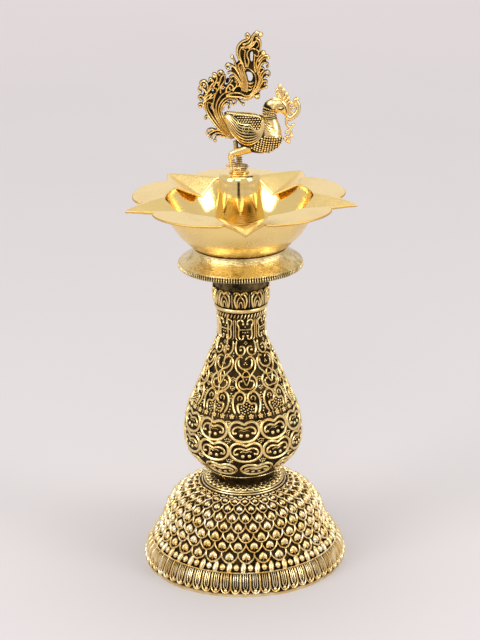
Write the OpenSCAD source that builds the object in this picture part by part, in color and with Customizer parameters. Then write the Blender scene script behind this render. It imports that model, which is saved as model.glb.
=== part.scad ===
// Brass standing oil lamp with five wick spouts and a peacock finial.
// Millimetres, +Z up. The lamp's axis is Z and its foot stands on z = 0.
// The front of the lamp faces -Y and the peacock looks along +X.
// It comes apart for cleaning at three screwed joints: stem on base,
// bowl on stem, and finial on bowl.

/* [Base] */
// Outer radius of the foot
foot_r = 74; // [72:0.5:76]
// Height of the flat on top of the dome
dome_h = 59.8; // [59:0.1:60.5]
// Wall of the cast base
base_wall = 3; // [2:0.1:4]

/* [Stem] */
// Height of the vase's lower end
vase_z = 64; // [63.5:0.1:64.5]
// Height of the joint between stem and bowl
stem_top = 213; // [211:0.5:215]
// Wall of the vase's two castings
vase_wall = 2.2; // [1.5:0.1:3]
// Direction of the brazed seam between the vase's halves, in degrees
seam_az = 55.5; // [0:0.5:90]

/* [Bowl] */
// Height of the underside of the bowl
bowl_z = 236.8; // [236:0.1:237.5]
// Height of the rim's upper face
rim_z = 272; // [271:0.1:273]
// Thickness of the pressed sheet of the rim
sheet = 1.6; // [1.2:0.1:2]
// Number of wick spouts
spouts = 5; // [5:1:5]
// Direction of the front spout, in degrees
spout_az = 272.5; // [270:0.5:275]
// Distance from the axis to a spout's tip
tip_r = 83.5; // [82:0.5:85]
// Depth of a spout's valley at its inner end
valley = 9; // [6:0.5:10]

/* [Screws] */
// Radius of the two large studs
stud_r = 4; // [3.5:0.1:4.5]
// Radius of the stud under the peacock
small_stud_r = 2.5; // [2:0.1:3]
// Clearance round a stud, on the radius
play = 0.06; // [0.02:0.01:0.09]

/* [Finial] */
// Height of the top of the centre post
post_z = 289.4; // [288:0.1:291]
// Thickness of the peacock's openwork tail
tail_t = 8; // [5:0.5:10]
// Half width of the peacock's body over its half height
bird_width = 0.78; // [0.6:0.01:0.9]

/* [Hidden] */

$fn = 96;
antique = [0.62, 0.50, 0.26];
polished = [0.88, 0.73, 0.42];
steel = [0.70, 0.66, 0.56];

seat_top = dome_h + 3.4;
boss_drop = 12.8;
bore_r = stud_r + play;
small_bore_r = small_stud_r + play;
bowl_floor = bowl_z + 2.5;
mouth_r = 52.5;
crease_az = 19.5;
vertex_r = 43.5;
seat_r = 28.9;
plug_spigot_r = 17;
bush_r = 16;
neck_r = 18.8;

// Outside of the base from the foot up to the flat on top of the dome.
base_profile = [
  [foot_r, 0], [foot_r, 2.6], [foot_r - 0.8, 6], [71.8, 10], [69.6, 14.5], [67.4, 18],
  [64.8, 21.5], [61.6, 25], [59.4, 29.5], [58.1, 34], [56.6, 38.5], [54.5, 42.4],
  [51.8, 46.2], [48.6, 49.4], [45, 52.1], [41.2, 54.4], [37, 56.5], [33, 58.2], [seat_r, dome_h]
];

// Outside of the vase from its lower end up to its flared lip.
vase_profile = [
  [22.5, vase_z], [24.6, 66.3], [26.8, 69.4], [30, 73.2], [34, 77.2], [37.3, 81], [40.2, 85],
  [42.1, 89.8], [42.9, 97.3], [42.4, 105.1], [41.2, 112.9], [38.8, 120.6], [35.2, 128.2],
  [32, 136], [29, 143.5], [26.2, 151], [23, 158.5], [21, 162.8], [19.4, 166.8], [18.3, 170.4],
  [17.8, 175], [17.8, 181], [18, 187], [18.4, 191], [19.2, 194.4], [20.2, 198], [20.6, 202],
  [20.6, 208]
];

// Outside of the bowl from its foot to the mouth.
bowl_profile = [
  [32.4, bowl_z], [33.9, 238], [38, 241.5], [42.4, 246], [46, 251], [49.8, 257.5],
  [52.6, 266], [54.2, rim_z - sheet]
];

// Outside of the drip skirt from its flat top to the milled edge.
skirt_profile = [
  [33, bowl_z], [33.6, 234.6], [36, 231.4], [39.4, 228.9], [42.4, 226.9], [44, 224.8],
  [44, 223.4], [43.2, 222.3]
];

// Outside of the centre post from the bowl's floor to its flat top.
post_profile = [
  [19.6, bowl_floor], [17.5, 256.5], [16.3, 265.9], [15.2, 276.6], [13.8, 285],
  [13, 287.2], [11.4, 288.6], [9, post_z]
];

// The side view of the tail, as X and Z: up from the rump, round the S and back.
tail_outline = [
  [-1, 315], [-9, 313.5], [-16.2, 311.6], [-21.6, 317], [-15, 320.5], [-19, 325], [-22.7, 328],
  [-26.6, 336], [-26.8, 343], [-26.4, 350], [-23.6, 354.5], [-16.7, 359], [-9.5, 360.5],
  [-7.5, 365], [-4.5, 371], [-0.4, 374], [0.8, 380], [5, 385.6], [11.8, 388], [15.6, 387.2],
  [16.2, 376], [18.5, 374], [23.5, 369], [22, 364], [20.8, 359], [20.5, 350], [15.5, 342],
  [10, 339.8], [3.5, 336.4], [-4, 335.6], [-8.5, 333], [-10.5, 336], [-13.5, 335], [-11.5, 327],
  [-5, 319.5]
];

// The side view of the crest: a fan of stalks on the head.
crest_outline = [
  [23.5, 339.5], [25.6, 346], [28.6, 350.4], [31.2, 347.6], [33.4, 344.4], [35, 340],
  [33.5, 336], [31, 338.6], [27.5, 340.6]
];

// The side view of the vine that hangs from the beak.
vine_outline = [
  [34.2, 338.2], [36.6, 337], [38.6, 341.6], [41.4, 341.4], [42.4, 336], [41, 330.6],
  [38, 327.4], [39.8, 323.6], [38, 320.6], [39, 314.4], [37, 308.6], [33.6, 309.4],
  [35.4, 314.6], [34.6, 321], [33.4, 327], [37, 331.6], [34.4, 334]
];

// Moves an outside profile inwards to make the inside of a casting.
function inside(profile, dr, dz) = [for (p = profile) [p.x - dr, p.y + dz]];

// Turns a profile about the axis as a solid that is closed at the axis.
module turned(profile) {
  ends = [[0, profile[len(profile) - 1].y], [0, profile[0].y]];
  rotate_extrude() polygon(concat(profile, ends));
}

module ring(r_in, r_out, z0, z1) {
  translate([0, 0, z0]) difference() {
    cylinder(r = r_out, h = z1 - z0);
    translate([0, 0, -1]) cylinder(r = r_in, h = z1 - z0 + 2);
  }
}

module stud(r, z0, z1) {
  translate([0, 0, z0]) cylinder(r = r, h = z1 - z0);
}

// Extrudes a side view, given as X and Z, to both sides of the lamp's middle plane.
module side_view(outline, thickness, y = 0) {
  translate([0, y, 0]) rotate([90, 0, 0])
    linear_extrude(thickness, center = true) polygon(outline);
}

module ball(x, y, z, r) {
  translate([x, y, z]) sphere(r = r, $fn = 28);
}

// Base: one hollow casting, open underneath, with a flat ring for a foot.
module base_shell() {
  color(antique) difference() {
    turned(base_profile);
    translate([0, 0, -base_wall]) turned(inside(base_profile, base_wall, 0));
    stud(bore_r, dome_h - base_wall - 1, dome_h + 1);
  }
}

// Polished ring soldered on the dome round the foot of the stem.
module base_seat_ring() {
  color(polished) rotate_extrude() polygon([
    [20.4, dome_h], [seat_r, dome_h], [seat_r, dome_h + 0.8], [27.6, dome_h + 2.2],
    [24.6, dome_h + 3.1], [22, seat_top], [20.4, seat_top - 0.4]
  ]);
}

// Tapped boss brazed under the top of the base.
module base_boss() {
  color(polished) ring(bore_r, 9, dome_h - base_wall - boss_drop, dome_h - base_wall);
}

module stem_stud() {
  color(steel) stud(stud_r, dome_h - boss_drop, 69);
}

// One half of the cast vase. Both halves meet on the brazed seam.
module vase_half(az) {
  cavity = inside(vase_profile, vase_wall, 1.6);
  top = len(cavity) - 1;
  wall = concat(
    [[plug_spigot_r, vase_z]], vase_profile, [[bush_r, 208]],
    [[bush_r, 196.5]], [for (i = [top - 5:-1:1]) cavity[i]],
    [[plug_spigot_r, vase_z + 2.4]]
  );
  rotate([0, 0, az]) rotate_extrude(angle = 180) polygon(wall);
}

module vase_left_half() {
  color(antique) vase_half(seam_az);
}

module vase_right_half() {
  color(antique) vase_half(seam_az + 180);
}

// Turned plug in the vase's foot. Its lower face rests on the dome.
module vase_foot_plug() {
  color(antique) difference() {
    union() {
      stud(19.8, dome_h, vase_z);
      stud(plug_spigot_r, vase_z - 1, 71);
    }
    stud(bore_r, dome_h - 1, 72);
  }
}

// Turned bush in the vase's mouth. Its upper face carries the bowl.
module vase_top_bush() {
  color(antique) difference() {
    union() {
      stud(bush_r, 196.5, 209);
      stud(neck_r, 208, stem_top);
    }
    stud(bore_r, 195, stem_top + 1);
  }
}

module bowl_stud() {
  color(steel) stud(stud_r, stem_top - 15, stem_top + 13);
}

// The rim seen from above: five round lobes between five pointed spouts.
function lobe_r(a) = 68 + 8 * sqrt(max(0, 1 - pow((a - 36) / 24.6, 2)));
function spout_outline(i) = [
  for (a = [0, 11.5, 12.5, 15, 18, 22, 27, 32, 36, 40, 45, 50, 54, 57, 59.5, 60.5])
    let (r = a == 0 ? tip_r : lobe_r(a), t = spout_az + i * 360 / spouts + a)
      [r * cos(t), r * sin(t)]
];
rim_outline = [for (i = [0:spouts - 1]) each spout_outline(i)];

// A kite between a spout's tip, its two creases and its inner vertex, pressed down
// along its middle. It is grown by grow, its lower side lies low under the pressed
// face, and its upper side is level at high above the rim, or pressed too.
module pressed_kite(grow, low, high) {
  cx = mouth_r * cos(crease_az);
  cy = mouth_r * sin(crease_az) + grow;
  press = 0.4;
  plan = [
    [tip_r - 1 + grow, 0, -press], [cx, cy, -press],
    [vertex_r - grow, 0, -valley], [cx, -cy, -press]
  ];
  points = concat(
    [for (p = plan) [p.x, p.y, rim_z + p.z - low]],
    [for (p = plan) [p.x, p.y, high > 0 ? rim_z + high : rim_z + p.z]]
  );
  faces = [
    [0, 1, 2], [0, 2, 3], [4, 6, 5], [4, 7, 6],
    [0, 4, 5, 1], [1, 5, 6, 2], [2, 6, 7, 3], [3, 7, 4, 0]
  ];
  polyhedron(points, faces, convexity = 4);
}

// The cup and a plain round rim, before the rim is cut to its outline.
module turned_bowl() {
  cup = inside(bowl_profile, 1.7, 2.5);
  wall = concat(
    bowl_profile, [[tip_r + 5, rim_z - sheet], [tip_r + 5, rim_z], [mouth_r, rim_z]],
    [for (i = [len(cup) - 2:-1:0]) cup[i]], [[0, bowl_floor], [0, bowl_z]]
  );
  rotate_extrude() polygon(wall);
}

// Bowl: a turned cup with a pressed rim. A wick lies in the valley of each spout.
module oil_bowl() {
  color(polished) {
    difference() {
      intersection() {
        turned_bowl();
        translate([0, 0, bowl_z - 1]) linear_extrude(rim_z - bowl_z + 2) polygon(rim_outline);
      }
      for (i = [0:spouts - 1]) rotate([0, 0, spout_az + i * 360 / spouts])
        pressed_kite(-1, sheet / 2, 5);
    }
    for (i = [0:spouts - 1]) rotate([0, 0, spout_az + i * 360 / spouts])
      pressed_kite(0.5, sheet, 0);
  }
}

// Spun skirt under the bowl that catches dripping oil, with a milled edge.
module drip_skirt() {
  lining = inside(skirt_profile, 1.5, -1.2);
  last = len(lining) - 3;
  color(polished) rotate_extrude() polygon(concat(
    [[18.6, bowl_z]], skirt_profile, [[42, 223]], [for (i = [last:-1:1]) lining[i]],
    [[31, bowl_z - 1.6], [18.6, bowl_z - 1.6]]
  ));
}

// Turned collar under the bowl, tapped for the stud. It carries the skirt.
module bowl_boss() {
  color(antique) difference() {
    stud(18.6, stem_top, bowl_z);
    stud(bore_r, stem_top - 1, stem_top + 15);
  }
}

// Hollow post in the middle of the bowl that carries the peacock.
module centre_post() {
  color(polished) difference() {
    turned(post_profile);
    translate([0, 0, -1.8]) turned(inside(post_profile, 1.8, 0));
    stud(small_bore_r, post_z - 3, post_z + 1);
  }
}

// Tapped boss brazed under the post's top.
module post_boss() {
  color(polished) ring(small_bore_r, 7, post_z - 11, post_z - 1.8);
}

module finial_stud() {
  color(steel) stud(small_stud_r, post_z - 10, post_z + 1.6);
}

// Disc that the peacock stands on. Its lower face rests on the post.
module finial_pedestal() {
  color(polished) difference() {
    stud(7, post_z, post_z + 2.4);
    stud(small_bore_r, post_z - 1, post_z + 1.7);
  }
}

// A bent leg: thigh, knee, shank, and a foot that stands on the disc.
module leg(x, y) {
  top = post_z + 2.4;
  hull() {
    ball(x + 8, y, 306.5, 2.6);
    ball(x + 1.5, y, 303, 2.4);
  }
  hull() {
    ball(x + 1.5, y, 303, 2.4);
    ball(x + 0.4, y, top + 3, 2);
  }
  translate([x + 1.6, y, top]) cylinder(r1 = 3.2, r2 = 2, h = 3);
}

module peacock_legs() {
  color(antique) {
    leg(-4.8, -3.2);
    leg(-0.6, 3.6);
  }
}

// Body, neck, head and beak in one casting.
module peacock_body() {
  color(antique) scale([1, bird_width, 1]) {
    hull() {
      ball(18.6, 0, 314.4, 10.8);
      ball(4, 0, 317.6, 12);
      ball(-5, 0, 326, 4.6);
    }
    hull() {
      ball(22, 0, 319, 7.6);
      ball(20.6, 0, 332, 4.2);
    }
    hull() {
      ball(20.6, 0, 332, 4.2);
      ball(27.6, 0, 334.6, 6);
    }
    hull() {
      ball(29.4, 0, 333.4, 4.4);
      ball(33, 0, 328.2, 1.2);
    }
  }
}

module peacock_tail() {
  color(antique) difference() {
    side_view(tail_outline, tail_t);
    translate([7.6, 0, 356]) rotate([90, 0, 0]) cylinder(r = 2.6, h = 2 * tail_t, center = true);
    translate([9, 0, 368.6]) rotate([90, 0, 0]) cylinder(r = 1.8, h = 2 * tail_t, center = true);
  }
}

module peacock_crest() {
  color(antique) side_view(crest_outline, 3);
}

module beak_vine() {
  color(antique) side_view(vine_outline, 3);
}

base_shell();
base_seat_ring();
base_boss();
stem_stud();
vase_left_half();
vase_right_half();
vase_foot_plug();
vase_top_bush();
bowl_stud();
oil_bowl();
drip_skirt();
bowl_boss();
centre_post();
post_boss();
finial_stud();
finial_pedestal();
peacock_legs();
peacock_body();
peacock_tail();
peacock_crest();
beak_vine();
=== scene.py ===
# %% [markdown]
# # A brass standing oil lamp with five spouts and a peacock
#
# The lamp is cast, turned, pressed and brazed brass. It stands on a hollow base cast
# with scales, carries a vase-shaped stem cast with scrolls, a polished bowl with five
# spouts for wicks, and a peacock on a post. The solids that fix every size are already
# there, so this lesson only builds what the eye sees, on top of those solids.

# %% Load the solids
from math import radians

import bmesh
import bpy
import numpy as np
from mathutils import Matrix, Vector
from mathutils.geometry import tessellate_polygon


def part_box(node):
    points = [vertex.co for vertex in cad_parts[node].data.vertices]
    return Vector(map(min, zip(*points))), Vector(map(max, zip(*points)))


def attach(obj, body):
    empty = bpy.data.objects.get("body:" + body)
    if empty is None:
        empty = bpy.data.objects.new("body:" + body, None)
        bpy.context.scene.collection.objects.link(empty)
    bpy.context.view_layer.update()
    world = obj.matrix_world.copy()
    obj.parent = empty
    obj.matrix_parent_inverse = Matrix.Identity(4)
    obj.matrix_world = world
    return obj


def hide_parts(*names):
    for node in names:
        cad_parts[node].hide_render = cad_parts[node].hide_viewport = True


MM = 0.001
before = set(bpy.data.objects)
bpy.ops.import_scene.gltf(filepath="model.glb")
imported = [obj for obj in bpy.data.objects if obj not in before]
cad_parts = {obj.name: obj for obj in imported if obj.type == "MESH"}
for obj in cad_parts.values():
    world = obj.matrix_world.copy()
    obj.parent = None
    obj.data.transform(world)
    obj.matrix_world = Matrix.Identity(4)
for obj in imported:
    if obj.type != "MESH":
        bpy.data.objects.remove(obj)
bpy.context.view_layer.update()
scene = bpy.context.scene

# %% [markdown]
# ## Camera
#
# A long lens from a little above shows the rim as a flat oval and keeps the stem
# upright. The camera could aim at a target with a constraint, but a plain matrix is
# shorter and says exactly where it stands: a place, a tilt down and a slight roll.

# %% Camera
CAMERA_PLACE = (-0.001, -1.27666, 0.63644)
CAMERA_TILT = radians(70.37)
CAMERA_ROLL = -0.01532
LENS = 107.68

camera = bpy.data.objects.new("camera", bpy.data.cameras.new("camera"))
camera.data.lens = LENS
camera.matrix_world = (
    Matrix.Translation(CAMERA_PLACE)
    @ Matrix.Rotation(CAMERA_TILT, 4, "X")
    @ Matrix.Rotation(CAMERA_ROLL, 4, "Z")
)
scene.collection.objects.link(camera)
scene.camera = camera
print("lens", LENS, "mm at", CAMERA_PLACE)

# %% [markdown]
# ## Writing finishes as sums
#
# A finish is a net of nodes, and most of its nodes are arithmetic. A small class that
# stands for one output of a node, with the usual signs overloaded, lets that arithmetic
# be written as it would be on paper. Every other kind of node comes from one method.

# %% Finish maker
class Wire:
    """One output socket. Arithmetic on it adds Math nodes and gives a new Wire."""

    def __init__(self, finish, socket):
        self.finish = finish
        self.socket = socket

    def math(self, operation, first, second):
        return self.finish.node("ShaderNodeMath", {"operation": operation}, {0: first, 1: second})

    def __add__(self, other):
        return self.math("ADD", self, other)

    def __radd__(self, other):
        return self.math("ADD", other, self)

    def __sub__(self, other):
        return self.math("SUBTRACT", self, other)

    def __rsub__(self, other):
        return self.math("SUBTRACT", other, self)

    def __mul__(self, other):
        return self.math("MULTIPLY", self, other)

    def __rmul__(self, other):
        return self.math("MULTIPLY", other, self)

    def between(self, low, high):
        """0 below low, 1 above high, and a smooth S between them."""
        settings = {"interpolation_type": "SMOOTHSTEP"}
        return self.finish.node("ShaderNodeMapRange", settings, {0: self, 1: low, 2: high})


class Finish:
    """A material under construction around one Principled shader."""

    def __init__(self, name):
        self.material = bpy.data.materials.new(name)
        self.material.use_nodes = True
        self.tree = self.material.node_tree
        self.tree.nodes.clear()

    def node(self, kind, settings=None, inputs=None, output=0):
        """Adds a node: its settings first, then the values or links of its sockets."""
        node = self.tree.nodes.new(kind)
        for key, value in (settings or {}).items():
            setattr(node, key, value)
        for key, value in (inputs or {}).items():
            if isinstance(value, Wire):
                self.tree.links.new(value.socket, node.inputs[key])
            else:
                node.inputs[key].default_value = value
        return Wire(self, node.outputs[output])

    def place(self):
        return self.node("ShaderNodeTexCoord", output="Object")

    def worn(self, name):
        return self.node("ShaderNodeAttribute", {"attribute_name": name}, output="Fac")

    def noise(self, per_metre, detail=3.0, rough=0.55, place=None):
        inputs = {"Vector": place or self.place(), "Scale": per_metre, "Detail": detail}
        return self.node("ShaderNodeTexNoise", None, {**inputs, "Roughness": rough})

    def stretched(self, scale):
        """The object's coordinates, stretched by a scale on each axis."""
        return self.node("ShaderNodeMapping", None, {"Vector": self.place(), "Scale": scale})

    def blend(self, share, first, second):
        """A mix of two colours, which keeps their colour where a Math node would not."""
        return self.node("ShaderNodeMix", {"data_type": "RGBA"}, {0: share, 6: first, 7: second}, 2)

    def bump(self, height, distance, strength=1.0):
        inputs = {"Height": height, "Distance": distance, "Strength": strength}
        return self.node("ShaderNodeBump", None, inputs)

    def done(self, **inputs):
        """Closes the material. Names with _ stand for the shader's sockets with spaces."""
        named = {key.replace("_", " "): value for key, value in inputs.items()}
        shader = self.node("ShaderNodeBsdfPrincipled", None, named)
        out = self.tree.nodes.new("ShaderNodeOutputMaterial")
        self.tree.links.new(shader.socket, out.inputs["Surface"])
        return self.material


# %% [markdown]
# ## Floor and studio light
#
# Polished brass shows little of its own: it mirrors what stands round it. So the room is
# made as a small studio. A wide pale floor fills the view and lights the lamp from
# below, and its paper is painted darker near the lamp than far off: painted shade that
# evens out the brighter light the panels throw near the lamp. Five soft panels give the
# broad bright bands, and the darker gaps between them draw the edges of every turned
# part. An upright black card stands behind the camera, and the polished post mirrors it
# as a dark strip. A sky picture could do all this at once, but panels are easier to
# move one by one.

# %% Floor
FLOOR_RADII = np.array([0.0, 0.5, 1.5, 4.0, 9.0])
FLOOR_TURNS = 64
# The paper near the lamp is darker: painted shade that evens out the panels' brighter light there.
PAINTED_SHADE_NEAR_PAPER = (0.55, 0.522, 0.524, 1.0)
FAR_PAPER = (0.84, 0.79, 0.79, 1.0)
PAPER_NEAR, PAPER_FAR = 0.2, 2.9


def floor_disc():
    """A flat disc of rings: the point at radius r and direction a is
    (r cos a, r sin a, 0)."""
    turn = np.linspace(0, 2 * np.pi, FLOOR_TURNS, endpoint=False)
    x = np.outer(FLOOR_RADII, np.cos(turn))
    y = np.outer(FLOOR_RADII, np.sin(turn))
    points = np.stack((x, y, np.zeros_like(x)), axis=-1).reshape(-1, 3)
    inner = FLOOR_TURNS * np.arange(len(FLOOR_RADII) - 1)[:, None]
    outer = inner + FLOOR_TURNS
    step = np.arange(FLOOR_TURNS)[None, :]
    after = (step + 1) % FLOOR_TURNS
    corners = (inner + step, outer + step, outer + after, inner + after)
    faces = np.stack(corners, axis=-1).reshape(-1, 4)
    mesh = bpy.data.meshes.new("paper_floor")
    mesh.from_pydata(points.tolist(), [], faces.tolist())
    return mesh


def paper_finish():
    """Matt paper, a little cloudy, with painted shade: darker near the lamp, where the panels light it most,
    and paler far off.
    """
    finish = Finish("paper_with_painted_shade")
    distance = finish.node("ShaderNodeVectorMath", {"operation": "LENGTH"}, {0: finish.place()}, "Value")
    cloud = finish.noise(3.0, 2.0)
    far = (distance + cloud * 0.2 - 0.1).between(PAPER_NEAR, PAPER_FAR)
    return finish.done(Base_Color=finish.blend(far, PAINTED_SHADE_NEAR_PAPER, FAR_PAPER), Roughness=0.9)


def stand(name, mesh, material):
    """Puts a piece of the studio, which is not part of the lamp, into the scene."""
    thing = bpy.data.objects.new(name, mesh)
    mesh.materials.append(material)
    scene.collection.objects.link(thing)
    return thing


stand("paper_floor", floor_disc(), paper_finish())
print("floor across:", 2 * FLOOR_RADII[-1], "m")

# %% Panels, card and sky
LAMP_MIDDLE = (0.0, 0.0, 0.2)


def panel(name, place, width, height, power):
    """A rectangular soft light that faces the middle of the lamp."""
    light = bpy.data.lights.new(name, "AREA")
    light.shape = "RECTANGLE"
    light.size = width
    light.size_y = height
    light.energy = power
    lamp = bpy.data.objects.new(name, light)
    aim = (Vector(LAMP_MIDDLE) - Vector(place)).to_track_quat("-Z", "Y")
    lamp.matrix_world = Matrix.Translation(place) @ aim.to_matrix().to_4x4()
    scene.collection.objects.link(lamp)


panel("left_panel", (-1.4, -0.9, 1.1), 0.9, 1.4, 16.0)
panel("right_panel", (1.5, -0.7, 1.0), 0.7, 1.3, 12.0)
panel("top_panel", (0.1, 0.2, 1.9), 1.2, 1.0, 13.0)
panel("front_panel", (-0.25, -1.7, 1.5), 0.9, 0.5, 6.0)
panel("back_panel", (0.0, 2.6, 0.95), 3.0, 1.2, 2.2)

CARD_X, CARD_Y = -0.12, -1.55
CARD_WIDE = 0.42
CARD_LOW, CARD_HIGH = 0.02, 0.42
FELT = (0.03, 0.022, 0.018, 1.0)


def dark_card():
    """An upright black card behind the camera: four corners facing the lamp."""
    left, right = CARD_X - CARD_WIDE / 2, CARD_X + CARD_WIDE / 2
    low_corners = [(left, CARD_Y, CARD_LOW), (right, CARD_Y, CARD_LOW)]
    corners = low_corners + [(right, CARD_Y, CARD_HIGH), (left, CARD_Y, CARD_HIGH)]
    mesh = bpy.data.meshes.new("dark_card")
    mesh.from_pydata(corners, [], [(3, 2, 1, 0)])
    return mesh


felt = Finish("dark_card_felt").done(Base_Color=FELT, Roughness=0.95)
card = stand("dark_card", dark_card(), felt)
card.visible_camera = False

SKY_LIGHT = (0.80, 0.775, 0.775, 1.0)
SKY_STRENGTH = 0.93
sky = bpy.data.worlds.new("studio")
sky.use_nodes = True
sky_shader = sky.node_tree.nodes["Background"]
sky_shader.inputs["Color"].default_value = SKY_LIGHT
sky_shader.inputs["Strength"].default_value = SKY_STRENGTH
scene.world = sky
scene.view_settings.view_transform = "Standard"

# %% [markdown]
# ## Helpers: smooth lines, turned surfaces and raised wires
#
# Most of the lamp is one idea used many times: a profile is turned about the axis, and
# ornament is laid on that surface. The scrolls could be a height map, but a map fine
# enough for a one millimetre wire needs millions of points. Real wires of geometry need
# few points, stay sharp in any view, and know where their crests are, which the worn
# finish needs.

# %% Smooth lines and turned surfaces
def smooth_line(points, count, closed=False):
    """A smooth line through the points, as count points evenly spaced along it.

    Each stretch is a cubic whose slopes at its ends are the mean slopes of the chords
    there. The parameter grows with the root of each chord, so close points don't
    overshoot."""
    knots = np.asarray(points, float)
    first, last = 0, len(knots) - 1
    if closed:
        knots = np.vstack((knots[-3:], knots, knots[:4]))
        first, last = 3, len(points) + 3
    chords = np.linalg.norm(np.diff(knots, axis=0), axis=1)
    t = np.concatenate(([0.0], np.cumsum(np.sqrt(chords))))
    slope = np.gradient(knots, t, axis=0)
    u = np.linspace(t[first], t[last], 16 * len(knots))
    k = np.clip(np.searchsorted(t, u, side="right") - 1, 0, len(t) - 2)
    h = (t[k + 1] - t[k])[:, None]
    x = (u - t[k])[:, None] / h
    dense = (
        (2 * x**3 - 3 * x**2 + 1) * knots[k]
        + (x**3 - 2 * x**2 + x) * h * slope[k]
        + (3 * x**2 - 2 * x**3) * knots[k + 1]
        + (x**3 - x**2) * h * slope[k + 1]
    )
    walked = np.concatenate(([0.0], np.cumsum(np.linalg.norm(np.diff(dense, axis=0), axis=1))))
    even = np.linspace(0, walked[-1], count, endpoint=not closed)
    return np.stack([np.interp(even, walked, column) for column in dense.T], axis=-1)


def mirrored(points):
    """The points and their mirror images in x, as one closed or doubled-back line."""
    half = np.asarray(points, float)
    other = half[::-1] * (-1, 1)
    keep = slice(1, None) if abs(half[-1, 0]) < 1e-9 else slice(0, None)
    stop = -1 if abs(half[0, 0]) < 1e-9 else None
    return np.vstack((half, other[keep][:stop]))


class Turned:
    """A surface turned about the lamp's axis from a profile of (radius, height) in mm.

    The profile runs upwards and is known by its length s. A point is
    (r(s) cos a, r(s) sin a, z(s)), moved out along the surface's normal by a lift."""

    def __init__(self, profile, count=400):
        self.line = smooth_line(profile, count)
        steps = np.linalg.norm(np.diff(self.line, axis=0), axis=1)
        self.s = np.concatenate(([0.0], np.cumsum(steps)))
        slope = np.gradient(self.line, self.s, axis=0)
        slope /= np.linalg.norm(slope, axis=1)[:, None]
        self.normal = np.stack((slope[:, 1], -slope[:, 0]), axis=-1)

    def s_at(self, height):
        return np.interp(height, self.line[:, 1], self.s)

    def r_at(self, s):
        return np.interp(s, self.s, self.line[:, 0])

    def at(self, azimuth, s, lift=0.0):
        """Points and outward normals at azimuths in radians and lengths s."""
        azimuth, s, lift = np.broadcast_arrays(azimuth, s, lift)
        out = [np.interp(s, self.s, self.normal[:, i]) for i in (0, 1)]
        r = self.r_at(s) + out[0] * lift
        z = np.interp(s, self.s, self.line[:, 1]) + out[1] * lift
        c, d = np.cos(azimuth), np.sin(azimuth)
        points = np.stack((r * c, r * d, z), axis=-1)
        return points, np.stack((out[0] * c, out[0] * d, out[1]), axis=-1)

    def lay(self, shape, azimuths, height, lift=0.0):
        """Lays a flat shape on the surface once for each azimuth, in degrees.

        Its x, in mm, runs round the axis at the radius found at height, and its y runs
        along the profile. Returns arrays of copies, points and coordinates."""
        shape = np.asarray(shape, float)
        middle = self.s_at(height)
        azimuth = np.radians(azimuths)[:, None] + shape[None, :, 0] / self.r_at(middle)
        return self.at(azimuth, middle + shape[None, :, 1], lift)


# %% Parts and their faces
class Part:
    """Points in mm, groups of faces, and how high each point stands in the relief."""

    def __init__(self, points, faces, crest):
        self.points = np.asarray(points, float).reshape(-1, 3)
        self.faces = faces
        self.crest = np.broadcast_to(np.asarray(crest, float).ravel(), (len(self.points),))


def grid_faces(copies, rows, columns, wrap_rows=False, wrap_columns=False):
    """Four-cornered faces of grids of points numbered by copy, row and column."""
    index = np.arange(copies * rows * columns).reshape(copies, rows, columns)
    if wrap_rows:
        index = np.concatenate((index, index[:, :1]), axis=1)
    if wrap_columns:
        index = np.concatenate((index, index[:, :, :1]), axis=2)
    corners = (index[:, :-1, :-1], index[:, 1:, :-1], index[:, 1:, 1:], index[:, :-1, 1:])
    return np.stack(corners, axis=-1).reshape(-1, 4)


def unit(vectors):
    """The vectors at length 1."""
    return vectors / np.maximum(np.linalg.norm(vectors, axis=-1, keepdims=True), 1e-12)


# %% Wires
def wires(placed, width, height, closed=False, sides=5, sink=0.3, ends=0.45):
    """Raised half-round wires along lines laid on a surface.

    At each point the section stands on the normal: across is width/2 times cos t and up
    is height times sin t, from foot to foot, and both feet go down by sink. Open wires
    narrow over their last points and are capped."""
    points, normals = placed
    copies, count = points.shape[:2]
    if closed:
        along = np.roll(points, -1, axis=1) - np.roll(points, 1, axis=1)
    else:
        along = np.gradient(points, axis=1)
    across = unit(np.cross(along, normals))
    t = np.linspace(0, np.pi, sides)
    x = np.concatenate(([0.5], np.cos(t) / 2, [-0.5]))
    up = np.concatenate(([0.0], np.sin(t), [0.0]))
    down = np.concatenate(([-sink], np.zeros(sides), [-sink]))
    size = np.ones(count)
    if not closed:
        from_end = np.minimum(np.arange(count), np.arange(count)[::-1])
        size = np.clip(ends + (1 - ends) * from_end / 2.0, 0, 1)
    wide = (np.broadcast_to(width, count) * size)[:, None] * x
    tall = (np.broadcast_to(height, count) * size)[:, None] * up + down
    ring = points[:, :, None] + across[:, :, None] * wide[..., None]
    ring = ring + normals[:, :, None] * tall[..., None]
    turns = sides + 2
    faces = [grid_faces(copies, count, turns, wrap_rows=closed, wrap_columns=True)]
    if not closed:
        cap = np.arange(copies)[:, None] * count * turns + np.arange(turns)
        faces += [cap, cap[:, ::-1] + (count - 1) * turns]
    crest = np.broadcast_to(up, (copies, count, turns))
    return Part(ring, faces, crest)


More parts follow.
